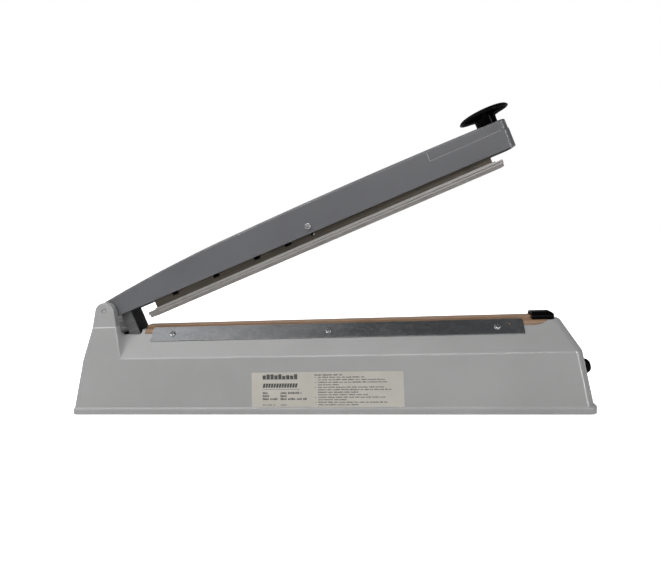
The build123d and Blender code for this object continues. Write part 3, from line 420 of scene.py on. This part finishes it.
def gloss_plastic(name, tint, roughness):
    """Shiny black plastic with faint swirls, dust and fine scratches."""
    paint = Paint(name, Specular_IOR_Level=0.01, Coat_Weight=0.05, Coat_Roughness=0.04)
    dust = paint.fit(paint.noise(scale=900.0, detail=3.0), 0.70, 0.80)
    dust = paint.maths("MULTIPLY", dust, 0.10)
    paint.colour(paint.mix(dust, tint, (0.05, 0.05, 0.05)))
    paint.roughness(paint.noise(scale=40.0, detail=6.0), roughness - 0.05, roughness + 0.10)
    paint.bump(paint.noise(scale=220.0, detail=3.0), distance=0.00002, strength=0.5)
    return paint.material


def galvanised(name, dark, light, roughness):
    """Zinc-plated sheet: crystal cells, long scratches and bright edges, partly scuffed plating and partly a
    painted highlight.
    """
    paint = Paint(name, Metallic=1.0)
    crystals = paint.cells(420.0, stretch=(0.6, 1.0, 1.0))
    lines = paint.noise(scale=90.0, detail=8.0, rough=0.7, stretch=(0.05, 2.0, 2.0))
    scratch = paint.fit(lines, 0.35, 0.65)
    mottle = paint.noise(scale=55.0, detail=6.0, rough=0.65, stretch=(0.5, 1.0, 1.0))
    crystals = paint.maths("MULTIPLY", crystals, 0.22)
    tone = paint.maths("ADD", crystals, paint.maths("MULTIPLY", mottle, 0.78))
    base = paint.mix(paint.fit(tone, 0.10, 0.90), dark, light)
    base = paint.mix(paint.maths("MULTIPLY", scratch, 0.12), base, scaled(light, 1.25))
    # Bright edges: partly scuffed plating, partly a painted highlight along the bent edges.
    edge_patches = paint.fit(paint.noise(scale=420.0, detail=3.0), 0.38, 0.52)
    chip_and_highlight_mask = paint.maths("MULTIPLY", paint.edges(radius=0.0009), edge_patches)
    base = paint.mix(chip_and_highlight_mask, base, (0.95, 0.95, 0.95))
    paint.colour(base)
    paint.roughness(tone, roughness - 0.05, roughness + 0.06)
    paint.bump(scratch, distance=0.000006)
    paint.bump(paint.noise(scale=160.0, detail=3.0), distance=0.00001)
    return paint.material


def plated(name, tint, roughness=0.22):
    """Bright plated or drawn metal, with fine marks that change its tint and its gloss."""
    paint = Paint(name, Metallic=1.0)
    marks = paint.noise(scale=700.0, detail=4.0)
    paint.colour(paint.mix(paint.fit(marks, 0.35, 0.75), scaled(tint, 0.78), tint))
    paint.roughness(marks, roughness - 0.08, roughness + 0.14)
    paint.bump(marks, distance=0.00001)
    return paint.material


def extruded_aluminium(name):
    """Warm, dull aluminium with streaks along the press bar and blotches of wear."""
    paint = Paint(name, Metallic=0.75)
    streaks = paint.noise(60.0, 8.0, rough=0.7, stretch=(0.06, 3.0, 3.0), turn=ARM_OPEN)
    blotches = paint.noise(45.0, 5.0, rough=0.6, stretch=(0.8, 1.0, 2.0), turn=ARM_OPEN)
    base = paint.mix(paint.fit(streaks, 0.3, 0.7), (0.30, 0.29, 0.275), (0.47, 0.458, 0.44))
    base = paint.mix(paint.fit(blotches, 0.55, 0.75, 0.0, 0.55), base, (0.21, 0.20, 0.187))
    patchy = paint.fit(paint.noise(scale=200.0), 0.35, 0.6)
    lightened_edges = paint.maths("MULTIPLY", paint.edges(radius=0.0006), patchy)
    base = paint.mix(lightened_edges, base, (0.46, 0.45, 0.43))
    paint.colour(base)
    paint.roughness(blotches, 0.34, 0.52)
    paint.bump(streaks, distance=0.00002)
    return paint.material


def dull_steel(name, dark, light, metallic, roughness=0.45):
    """Old rolled steel with long drawing lines and darker stains."""
    paint = Paint(name, Metallic=metallic)
    lines = paint.noise(70.0, 7.0, rough=0.7, stretch=(0.08, 3.0, 3.0), turn=ARM_OPEN)
    stains = paint.noise(scale=35.0, detail=5.0)
    base = paint.mix(paint.fit(lines, 0.3, 0.7), dark, light)
    base = paint.mix(paint.fit(stains, 0.5, 0.8, 0.0, 0.6), base, scaled(dark, 0.55))
    paint.colour(base)
    paint.roughness(stains, roughness - 0.08, roughness + 0.12)
    paint.bump(lines, distance=0.000015)
    return paint.material


def rubber(name, dark, light, roughness=0.7):
    """Matt rubber with a fine moulded grain."""
    paint = Paint(name, Specular_IOR_Level=0.3, Sheen_Weight=0.08)
    grain = paint.noise(scale=1800.0, detail=3.0)
    shades = paint.fit(paint.noise(scale=60.0, detail=4.0), 0.3, 0.7)
    paint.colour(paint.mix(shades, dark, light))
    paint.roughness(grain, roughness - 0.1, roughness + 0.1)
    paint.bump(grain, distance=0.00004)
    return paint.material


def woven(name, dark, light, thread, roughness=0.5, coat=0.0):
    """Fine woven cloth: two sets of threads over and under, with heat-browned patches."""
    paint = Paint(name, Specular_IOR_Level=0.45, Coat_Weight=coat, Coat_Roughness=0.3)
    sets = []
    for axis in ("X", "Y"):
        wave = paint.node("ShaderNodeTexWave", bands_direction=axis)
        wave.inputs["Scale"].default_value = WAVE_LENGTH / thread
        wave.inputs["Distortion"].default_value = 0.6
        wave.inputs["Detail"].default_value = 1.0
        paint.link(paint.place, wave.inputs["Vector"])
        sets.append(wave.outputs["Fac"])
    weave = paint.maths("MULTIPLY", sets[0], sets[1])
    patches = paint.noise(scale=38.0, detail=6.0, rough=0.6, stretch=(0.35, 1.0, 1.0))
    base = paint.mix(paint.fit(patches, 0.32, 0.68), dark, light)
    base = paint.mix(paint.fit(weave, 0.0, 1.0, 0.0, 0.22), base, scaled(light, 1.35))
    paint.colour(base)
    paint.roughness(patches, roughness - 0.1, roughness + 0.1)
    paint.bump(weave, distance=0.00005)
    return paint.material


def printed_paper(name):
    """The label's warm grey film, a little mottled."""
    paint = Paint(name, Specular_IOR_Level=0.4)
    mottle = paint.noise(scale=30.0, detail=5.0)
    shades = paint.fit(mottle, 0.3, 0.7)
    paint.colour(paint.mix(shades, (0.475, 0.452, 0.405), (0.545, 0.520, 0.470)))
    paint.roughness(mottle, 0.42, 0.55)
    paint.bump(paint.noise(scale=900.0, detail=3.0), distance=0.00001)
    return paint.material


def printing_ink(name):
    """Dark ink, unevenly laid."""
    paint = Paint(name, Specular_IOR_Level=0.4, Roughness=0.5)
    cover = paint.fit(paint.noise(scale=700.0, detail=3.0), 0.35, 0.7)
    paint.colour(paint.mix(cover, (0.035, 0.033, 0.032), (0.13, 0.125, 0.12)))
    return paint.material


def lamp_red(name):
    """A clear red lens."""
    paint = Paint(name, Specular_IOR_Level=0.6, Transmission_Weight=0.35, IOR=1.49)
    ripple = paint.noise(scale=500.0, detail=2.0)
    paint.colour(paint.mix(ripple, (0.45, 0.01, 0.01), (0.75, 0.04, 0.03)))
    paint.roughness(ripple, 0.08, 0.2)
    return paint.material


def make_materials():
    """Every material, by the record's material slot."""
    return {
        "base_plastic": moulded(
            "base_plastic", (0.335, 0.335, 0.332), (0.375, 0.375, 0.372), 0.36,
            edge_highlight_colour=(0.62, 0.62, 0.62), coat=0.5, round_off=0.0022, seam=True,
        ),
        "arm_paint": moulded(
            "arm_paint", (0.106, 0.107, 0.116), (0.128, 0.130, 0.139), 0.38,
            edge_highlight_colour=(0.32, 0.32, 0.34), coat=0.25, round_off=0.0012,
        ),
        # Pale paint on the cover's joint bead: a painted highlight on the joint's step.
        "seam_paint": moulded("seam_paint", (0.24, 0.24, 0.25), (0.30, 0.30, 0.31), 0.35),
        "gloss_black": gloss_plastic("gloss_black", (0.0025, 0.0025, 0.003), 0.16),
        "matt_black": moulded("matt_black", (0.018, 0.018, 0.019), (0.030, 0.030, 0.031), 0.5),
        "zinc_steel": galvanised("zinc_steel", (0.36, 0.37, 0.38), (0.58, 0.59, 0.60), 0.34),
        "strip_steel": galvanised("strip_steel", (0.41, 0.42, 0.44), (0.62, 0.63, 0.645), 0.20),
        # The channel's very dark brown tint is partly painted shade, for the shade under the arm.
        "channel_steel": dull_steel(
            "channel_steel", (0.062, 0.053, 0.043), (0.115, 0.099, 0.081), metallic=0.8
        ),
        "leg_steel": dull_steel(
            "leg_steel", (0.095, 0.096, 0.098), (0.155, 0.156, 0.158), metallic=0.3, roughness=0.42
        ),
        "core_steel": dull_steel(
            "core_steel", (0.07, 0.07, 0.075), (0.13, 0.13, 0.135), metallic=0.8, roughness=0.5
        ),
        "screw_steel": plated("screw_steel", (0.52, 0.52, 0.53)),
        "brass": plated("brass", (0.78, 0.58, 0.26), 0.28),
        "element_ribbon": plated("element_ribbon", (0.58, 0.55, 0.52), 0.32),
        "aluminium": extruded_aluminium("aluminium"),
        "foot_rubber": rubber("foot_rubber", (0.022, 0.022, 0.022), (0.035, 0.035, 0.035)),
        "silicone": rubber("silicone", (0.24, 0.225, 0.21), (0.31, 0.29, 0.275), 0.55),
        "glass_cloth": woven("glass_cloth", (0.62, 0.58, 0.50), (0.72, 0.69, 0.62), 0.0005),
        "ptfe_cloth": woven(
            "ptfe_cloth", (0.235, 0.132, 0.070), (0.330, 0.205, 0.120), 0.0004, 0.38, coat=0.15
        ),
        "label_paper": printed_paper("label_paper"),
        "ink": printing_ink("ink"),
        "coil_tape": moulded("coil_tape", (0.48, 0.36, 0.06), (0.58, 0.45, 0.09), 0.3),
        "circuit_board": moulded("circuit_board", (0.02, 0.11, 0.045), (0.03, 0.15, 0.06), 0.32),
        "component_black": moulded("component_black", (0.02, 0.02, 0.022), (0.035, 0.035, 0.038), 0.45),
        "nylon": moulded("nylon", (0.66, 0.64, 0.58), (0.74, 0.72, 0.66), 0.4),
        "lamp_red": lamp_red("lamp_red"),
    }


def dress_nodes(materials):
    """Give every CAD node the material of its record slot."""
    for row in frame["record"]["subparts"]:
        node = nodes[row["node"]]
        node.data.materials.clear()
        node.data.materials.append(materials[row["material_slot"]])


# ------------------------------------------------------------------ mesh helpers

def piece_from(bm, name, material):
    """An object made from a bmesh, which is then freed."""
    mesh = bpy.data.meshes.new(name)
    bm.normal_update()
    bm.to_mesh(mesh)
    bm.free()
    piece = bpy.data.objects.new(name, mesh)
    bpy.context.scene.collection.objects.link(piece)
    if material is not None:
        mesh.materials.append(material)
    return piece


def smooth(piece, angle=35.0):
    """Smooth shading, with edges sharper than an angle kept sharp."""
    for polygon in piece.data.polygons:
        polygon.use_smooth = True
    bm = bmesh.new()
    bm.from_mesh(piece.data)
    for edge in bm.edges:
        if len(edge.link_faces) == 2 and edge.calc_face_angle() > math.radians(angle):
            edge.smooth = False
    bm.to_mesh(piece.data)
    bm.free()


def finish_piece(piece, body, slot, *replaced):
    """Ride a body, and stand for CAD nodes, which are hidden; the slot argument is not used."""
    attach(piece, body)
    if replaced:
        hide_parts(*replaced)


# A face looks towards a direction when its normal's share along it is over this.
FACING = 0.7


def flat_face(node, direction):
    """Centre and normal of a node's largest flat face towards a direction."""
    best = {}
    for polygon in nodes[node].data.polygons:
        if polygon.normal.dot(direction) > FACING:
            key = tuple(round(c, 2) for c in polygon.normal)
            best.setdefault(key, []).append(polygon)
    key = max(best, key=lambda k: sum(p.area for p in best[k]))
    area = sum(p.area for p in best[key])
    centre = sum((p.center * p.area for p in best[key]), Vector()) / area
    normal = best[key][0].normal.copy()
    return centre, normal


# ------------------------------------------------------------------ release cloth

CLOTH_THICKNESS = 0.18 * MM
CLOTH_BEND = 0.7 * MM
CLOTH_STEP = 2.0 * MM
# The sheet stands this far off the bar and the deck, and off its clamped edge.
CLOTH_GAP = 0.3 * MM
EDGE_GAP = 0.2 * MM
# The bar's lower face is this far below the deck.
BAR_SUNK = 1.2 * MM
# Relief of the slack and of the ripples, and how far the cut edges stray.
SLACK = 0.16 * MM
RIPPLE = 0.06 * MM
FRAY = 0.25 * MM


def rounded(points, radius, steps=4):
    """An open line of (y, z) points with each inner corner rounded."""
    out = [points[0]]
    for before, corner, after in zip(points, points[1:], points[2:]):
        start = corner + (before - corner).normalized() * radius
        end = corner + (after - corner).normalized() * radius
        for i in range(steps + 1):
            t = i / steps
            out.append(start.lerp(corner, t).lerp(corner.lerp(end, t), t))
    out.append(points[-1])
    return out


def cloth_lines():
    """The cloth's half section, from the bar's middle out over its edge and down the slope."""
    low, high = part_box("ptfe_sheet")
    bar_low, bar_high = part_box("element_bar")
    half_bar = bar_high.y + CLOTH_GAP
    lean = Vector((UPPER_SLOPE[0], -UPPER_SLOPE[1])).normalized()
    end = Vector((high.y, low.z + EDGE_GAP))
    deck_z = bar_low.z + BAR_SUNK + CLOTH_GAP
    bend = end - lean * ((deck_z - end.y) / -lean.y)
    top = [Vector((0, high.z)), Vector((half_bar, high.z))]
    return top + [Vector((half_bar, deck_z)), bend, end]


def cloth_wrinkle(x, y):
    """Small outward relief in metres: slack beside the bar and long, faint ripples."""
    slow = noise.noise(Vector((x * 28, y * 60, 1.7)))
    quick = noise.noise(Vector((x * 140, y * 120, 4.1)))
    return SLACK * max(slow, 0.0) + RIPPLE * max(quick, 0.0)


def make_cloth(materials):
    """The release cloth: a thin sheet folded over the element, with its two end flaps."""
    low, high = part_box("ptfe_sheet")
    half = rounded(cloth_lines(), CLOTH_BEND)
    section = [Vector((-p.x, p.y)) for p in reversed(half)] + half[1:]
    flap_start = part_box("end_cap")[0].x + EDGE_GAP
    count = round((flap_start - low.x) / CLOTH_STEP)
    bm = bmesh.new()
    rows = []
    for i in range(count + 1):
        x = low.x + (flap_start - low.x) * i / count
        row = []
        for k, p in enumerate(section):
            fray = FRAY * noise.noise(Vector((x * 90, p.x * 200, 7.7)))
            away = cloth_wrinkle(x, p.x)
            side = 1 if p.x > 0 else -1
            place = Vector((x, p.x + side * away, p.y + 0.4 * away))
            if i == 0:
                place.x += fray
            if k in (0, len(section) - 1):
                place.z += fray * 0.6
            row.append(bm.verts.new(place))
        rows.append(row)
    for first, second in zip(rows, rows[1:]):
        for a, b, c, d in zip(first, first[1:], second[1:], second):
            bm.faces.new((a, b, c, d))
    for side in (-1, 1):
        add_flap(bm, rows[-1], section, side, high.x)
    bmesh.ops.recalc_face_normals(bm, faces=bm.faces)
    cloth = piece_from(bm, "release_cloth", materials["ptfe_cloth"])
    solid = cloth.modifiers.new("thickness", "SOLIDIFY")
    solid.thickness = CLOTH_THICKNESS
    solid.offset = -1
    smooth(cloth, 60)
    finish_piece(cloth, "base", "ptfe_cloth", "ptfe_sheet")
    across = sum((b - a).length for a, b in zip(section, section[1:]))
    return cloth, (high.x - low.x, across)


FLAP_STEPS = 12
# The share of the flap's width that is left at its tip.
FLAP_TIP = 0.03
TINY = 1e-9


def add_flap(bm, edge, section, side, end_x):
    """One flap: the slope and deck part of the sheet runs on and narrows in a curve."""
    bar_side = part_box("element_bar")[1].y + 2 * CLOTH_GAP
    kept = [k for k, p in enumerate(section) if side * p.x > bar_side]
    if side > 0:
        kept = kept[::-1]
    outer, inner = section[kept[0]], section[kept[-1]]
    start_x = edge[kept[0]].co.x
    previous = [edge[k] for k in kept]
    for i in range(1, FLAP_STEPS + 1):
        t = i / FLAP_STEPS
        x = start_x + (end_x - start_x) * t
        left = math.sqrt(1 - t * t) if t < 1 else FLAP_TIP
        row = []
        for k in kept:
            p = section[k]
            share = (p - inner).length / (outer - inner).length
            row.append(bm.verts.new((x, *point_along(section, kept, min(share, left)))))
        for a, b, c, d in zip(previous, previous[1:], row[1:], row):
            bm.faces.new((a, b, c, d))
        previous = row


def point_along(section, kept, share):
    """The point of the kept stretch at a straight-line share of its reach from the inner end."""
    inner, outer = section[kept[-1]], section[kept[0]]
    reach = (outer - inner).length * share
    for a, b in zip(kept[::-1], kept[-2::-1]):
        first, second = (section[a] - inner).length, (section[b] - inner).length
        if second >= reach - TINY:
            t = (reach - first) / max(second - first, TINY)
            return section[a].lerp(section[b], min(max(t, 0.0), 1.0))
    return outer


# ------------------------------------------------------------------ label printing

INK_THICKNESS = 0.04 * MM
# Printed words: strokes in each, how high a stroke may rise, how much of its pitch it fills, and
# the gap to the next word in pitches.
WORD_STROKES = (3, 9)
STROKE_RISES = (0.0, 0.0, 0.28, 0.32)
STROKE_FILL = (0.62, 0.80)
WORD_GAP = 0.9


class LabelPrint:
    """Generic printed bars on the label, placed from its left edge and its top."""

    def __init__(self):
        self.bm = bmesh.new()
        centre, self.normal = flat_face("rating_label", Vector((0, -1, 0)))
        low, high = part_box("rating_label")
        self.right = Vector((1, 0, 0))
        self.up = self.normal.cross(self.right)
        self.width = high.x - low.x
        self.height = (high.z - low.z) / self.up.z
        self.corner = centre - self.right * self.width / 2 + self.up * self.height / 2
        self.dice = random.Random(4)

    def bar(self, left, top, width, height, slant=0.0):
        """One raised bar, all sizes in metres."""
        base = self.corner + self.right * left - self.up * top
        across = self.right * width
        down = -self.up * height + self.right * (-slant * height)
        lower = [base, base + across, base + across + down, base + down]
        under = [self.bm.verts.new(p - self.normal * INK_THICKNESS * 0.5) for p in lower]
        over = [self.bm.verts.new(p + self.normal * INK_THICKNESS) for p in lower]
        self.bm.faces.new(over)
        self.bm.faces.new(under[::-1])
        for i in range(4):
            j = (i + 1) % 4
            self.bm.faces.new((over[j], over[i], under[i], under[j]))

    def words(self, left, top, width, height, letter, slant=0.0):
        """A line of words made of short uneven strokes with no letter shapes."""
        x = left
        while x < left + width - letter:
            count = self.dice.randint(*WORD_STROKES)
            for _ in range(count):
                if x > left + width - letter:
                    break
                rise = self.dice.choice(STROKE_RISES)
                stroke = letter * self.dice.uniform(*STROKE_FILL)
                self.bar(x, top - height * rise, stroke, height * (1 + rise), slant)
                x += letter
            x += letter * WORD_GAP


# The label's layout, in shares of its width and its height: its two columns, how far each block
# of the heading rises, the rows of two words, and the lines, some of which start a new number.
LEFT_COLUMN, SECOND_WORD, RIGHT_COLUMN = 0.075, 0.12, 0.424
HEADING_RISES = (0.0, 0.028, 0.028, 0.0, 0.028, -0.02, 0.0, -0.01, 0.028)
ROW_WORDS = ((0.035, 0.15), (0.05, 0.055), (0.108, 0.18))
LINE_LENGTHS = (0.31, 0.44, 0.46, 0.14, 0.43, 0.48, 0.27, 0.33, 0.445, 0.19, 0.46, 0.27)
NUMBERED_LINES = (0, 2, 4, 8, 10)


def make_label_print(materials):
    """The label's two columns: a heading block and rows at left, numbered lines at right."""
    ink = LabelPrint()
    w, h = ink.width, ink.height
    left = LEFT_COLUMN * w
    for i, share in enumerate(HEADING_RISES):
        rise = share * h
        ink.bar(left + i * 0.0265 * w, 0.085 * h - rise, 0.0225 * w, 0.12 * h + rise)
    for i in range(13):
        ink.bar(left + 0.006 * w + i * 0.018 * w, 0.32 * h, 0.0145 * w, 0.12 * h, 0.25)
    ink.bar(left, 0.485 * h, 0.248 * w, 0.010 * h)
    second_left = left + SECOND_WORD * w
    for row, (first, second) in enumerate(ROW_WORDS):
        top = (0.575 + row * 0.085) * h
        ink.words(left, top, first * w, 0.048 * h, 0.0085 * w)
        ink.words(second_left, top, second * w, 0.048 * h, 0.0085 * w)
    ink.words(left, 0.925 * h, 0.085 * w, 0.022 * h, 0.0060 * w)
    ink.words(second_left, 0.925 * h, 0.045 * w, 0.022 * h, 0.0060 * w)
    right = RIGHT_COLUMN * w
    ink.words(right, 0.075 * h, 0.195 * w, 0.032 * h, 0.0078 * w)
    for row, length in enumerate(LINE_LENGTHS):
        top = (0.145 + row * 0.0705) * h
        ink.words(right + 0.022 * w, top, length * w, 0.026 * h, 0.0070 * w)
        if row in NUMBERED_LINES:
            ink.bar(right + 0.002 * w, top, 0.005 * w, 0.026 * h)
    printing = piece_from(ink.bm, "label_printing", materials["ink"])
    finish_piece(printing, "base", "label_paper")


# ------------------------------------------------------------------ timer scale

SCALE_STEPS = 9
SCALE_SWEEP = 280.0
SCALE_RADIUS = 9.4 * MM
# The first mark's length and half width, and how much each mark after it adds.
MARK_LENGTH, LENGTH_STEP = 1.6 * MM, 0.12 * MM
MARK_HALF, HALF_STEP = 0.28 * MM, 0.03 * MM
MARK_TAPER = 0.6
MARK_SUNK, MARK_PROUD = 0.1 * MM, 0.06 * MM
# The wall's face is this far behind the nut's middle.
WALL_BACK = 0.9 * MM


def make_timer_scale(materials):
    """Raised marks around the knob on the right end, each a little longer wedge."""
    _, normal = flat_face("control_nut", Vector((1, 0, 0)))
    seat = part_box("control_nut")
    middle = (seat[0] + seat[1]) / 2
    across = Vector((0, 1, 0))
    up = normal.cross(across)
    wall = middle - normal * WALL_BACK
    bm = bmesh.new()
    for i in range(SCALE_STEPS):
        angle = math.radians(90 - SCALE_SWEEP / 2 + SCALE_SWEEP * i / (SCALE_STEPS - 1))
        radial = math.cos(angle) * across + math.sin(angle) * up
        side = normal.cross(radial)
        half = MARK_HALF + HALF_STEP * i
        inner = wall + radial * SCALE_RADIUS
        outer = inner + radial * (MARK_LENGTH + LENGTH_STEP * i)
        corners = [
            inner - side * half * MARK_TAPER,
            inner + side * half * MARK_TAPER,
            outer + side * half,
            outer - side * half,
        ]
        under = [bm.verts.new(p - normal * MARK_SUNK) for p in corners]
        over = [bm.verts.new(p + normal * MARK_PROUD) for p in corners]
        bm.faces.new(over)
        bm.faces.new(under[::-1])
        for a in range(4):
            b = (a + 1) % 4
            bm.faces.new((over[b], over[a], under[a], under[b]))
    bmesh.ops.recalc_face_normals(bm, faces=bm.faces)
    marks = piece_from(bm, "timer_scale", materials["ink"])
    finish_piece(marks, "base", "component_black")


# ------------------------------------------------------------------ press handle

def arm_place():
    """The matrix from the arm's own frame, along and up from the hinge, to its rest pose."""
    joint = next(j for j in frame["joints"] if j["name"] == "arm_swing")
    turn = Matrix.Rotation(-math.radians(ARM_OPEN), 4, "Y")
    return Matrix.Translation(Vector(joint["pos_m"])) @ turn


LATHE_SEGMENTS = 96


def lathe(bm, profile):
    """A surface of revolution about Z from (radius, height) points; ends on the axis are closed."""
    rings = []
    for radius, height in profile:
        if radius < TINY:
            rings.append([bm.verts.new((0, 0, height))])
            continue
        ring = []
        for i in range(LATHE_SEGMENTS):
            a = 2 * math.pi * i / LATHE_SEGMENTS
            ring.append(bm.verts.new((radius * math.cos(a), radius * math.sin(a), height)))
        rings.append(ring)
    for first, second in zip(rings, rings[1:]):
        for i in range(LATHE_SEGMENTS):
            j = (i + 1) % LATHE_SEGMENTS
            corners = [first[k % len(first)] for k in (i, j)]
            corners += [second[k % len(second)] for k in (j, i)]
            distinct = list(dict.fromkeys(corners))
            if len(distinct) > 2:
                bm.faces.new(distinct)


def arc(centre, radius, start, end, steps):
    """Points on an arc, from one angle to another in degrees."""
    out = []
    for i in range(steps + 1):
        a = math.radians(start + (end - start) * i / steps)
        out.append((centre[0] + radius * math.cos(a), centre[1] + radius * math.sin(a)))
    return out


# The handle's axis along the arm, and its outline in radii and heights above the hinge line, all in
# millimetres: a dome over the rim's rounded edge, a hollow under the disc, and the stem.
HANDLE_U = 455.7
RIM = 25.0
DOME_REACH = 0.96 * RIM
DOME_FOOT, DOME_RISE = 32.4, 4.1
DOME_STEPS, DOME_KEPT = 22, 20
EDGE_RADIUS, EDGE_Z = 1.15, 31.3
HOLLOW = [(RIM - 3.2, 31.0), (RIM - 6.0, 31.9), (14.0, 32.0), (11.6, 31.0), (10.7, 28.5)]
STEM = [(10.45, 24.0), (10.45, 20.2), (10.6, 18.4), (10.0, 17.8), (0.0, 17.8)]
HANDLE_RIBS = 24
RIB_HALF = 0.45
RIB_UNDER = [(9.5, 27.2), (11.5, 27.6), (RIM - 2.2, 30.2)]
RIB_OVER = [(RIM - 1.6, 30.8), (RIM - 2.0, 31.9), (9.5, 32.6)]


def make_handle(materials):
    """The round press handle: shallow dome, rolled rim, radial ribs and a flared stem."""
    dome = []
    for k in range(DOME_KEPT):
        t = math.pi / 2 * k / DOME_STEPS
        dome.append((DOME_REACH * math.sin(t), DOME_FOOT + DOME_RISE * math.cos(t)))
    edge = arc((RIM - EDGE_RADIUS, EDGE_Z), EDGE_RADIUS, 60, -110, 8)
    bm = bmesh.new()
    profile = [(r * MM, z * MM) for r, z in dome + edge + HOLLOW + STEM]
    lathe(bm, profile)
    for i in range(HANDLE_RIBS):
        turn = Matrix.Rotation(2 * math.pi * (i + 0.5) / HANDLE_RIBS, 4, "Z")
        add_rib(bm, turn)
    bmesh.ops.recalc_face_normals(bm, faces=bm.faces)
    handle = piece_from(bm, "grip_handle", materials["gloss_black"])
    handle.matrix_world = arm_place() @ Matrix.Translation((HANDLE_U * MM, 0, 0))
    smooth(handle, 40)
    finish_piece(handle, "arm", "gloss_black", "press_handle")


def add_rib(bm, turn):
    """A thin radial rib under the disc, deepest at the stem."""
    outline = RIB_UNDER + RIB_OVER
    sides = []
    for y in (-RIB_HALF, RIB_HALF):
        sides.append([bm.verts.new(turn @ Vector((r * MM, y * MM, z * MM))) for r, z in outline])
    bm.faces.new(sides[0])
    bm.faces.new(sides[1][::-1])
    for i in range(len(outline)):
        j = (i + 1) % len(outline)
        bm.faces.new((sides[0][i], sides[1][i], sides[1][j], sides[0][j]))


# ------------------------------------------------------------------ arm trim: a bead with a painted highlight

# The bead's path along and up from the hinge, its section, and the arm's half width, in millimetres.
ARM_SIDE = 17.0
BEAD_START, BEAD_END = 388.15, 462.0
BEAD_LOW, BEAD_TOP = 9.05, 18.6
BEAD_HALF = 0.25
BEAD_DEPTH, BEAD_INSET = 0.3, 0.09
# The upright stretch is this many times as wide as the level one.
UPRIGHT_WIDER = 1.5


def make_seam_highlight(materials):
    """A thin bead along the joint of the handle's end cover, on both sides of the arm, painted pale as a painted
    highlight on the joint's step.
    """
    bm = bmesh.new()
    half, upright = BEAD_HALF, BEAD_HALF * UPRIGHT_WIDER
    stretches = (
        (BEAD_START - half, BEAD_END, BEAD_LOW - half, BEAD_LOW + half),
        (BEAD_START - upright, BEAD_START + upright, BEAD_LOW + half, BEAD_TOP),
    )
    for side in (-1, 1):
        for left, right, low, high in stretches:
            made = bmesh.ops.create_cube(bm, size=1.0)["verts"]
            size = Matrix.Diagonal(((right - left) * MM, BEAD_DEPTH * MM, (high - low) * MM, 1))
            depth = side * (ARM_SIDE - BEAD_INSET)
            middle = Vector(((left + right) / 2, depth, (low + high) / 2)) * MM
            bmesh.ops.transform(bm, matrix=Matrix.Translation(middle) @ size, verts=made)
    # The bead's pale paint is a painted highlight along the step of the cover's joint.
    seam = piece_from(bm, "cover_seam_highlight", materials["seam_paint"])
    seam.matrix_world = arm_place()
    finish_piece(seam, "arm", "arm_paint")


# ------------------------------------------------------------------ build


bpy.context.scene.view_settings.view_transform = "Standard"
make_camera()
make_world()
make_lights()
make_floor()
made = make_materials()
dress_nodes(made)
release_cloth, cloth_flat = make_cloth(made)
make_label_print(made)
make_timer_scale(made)
make_handle(made)
make_seam_highlight(made)
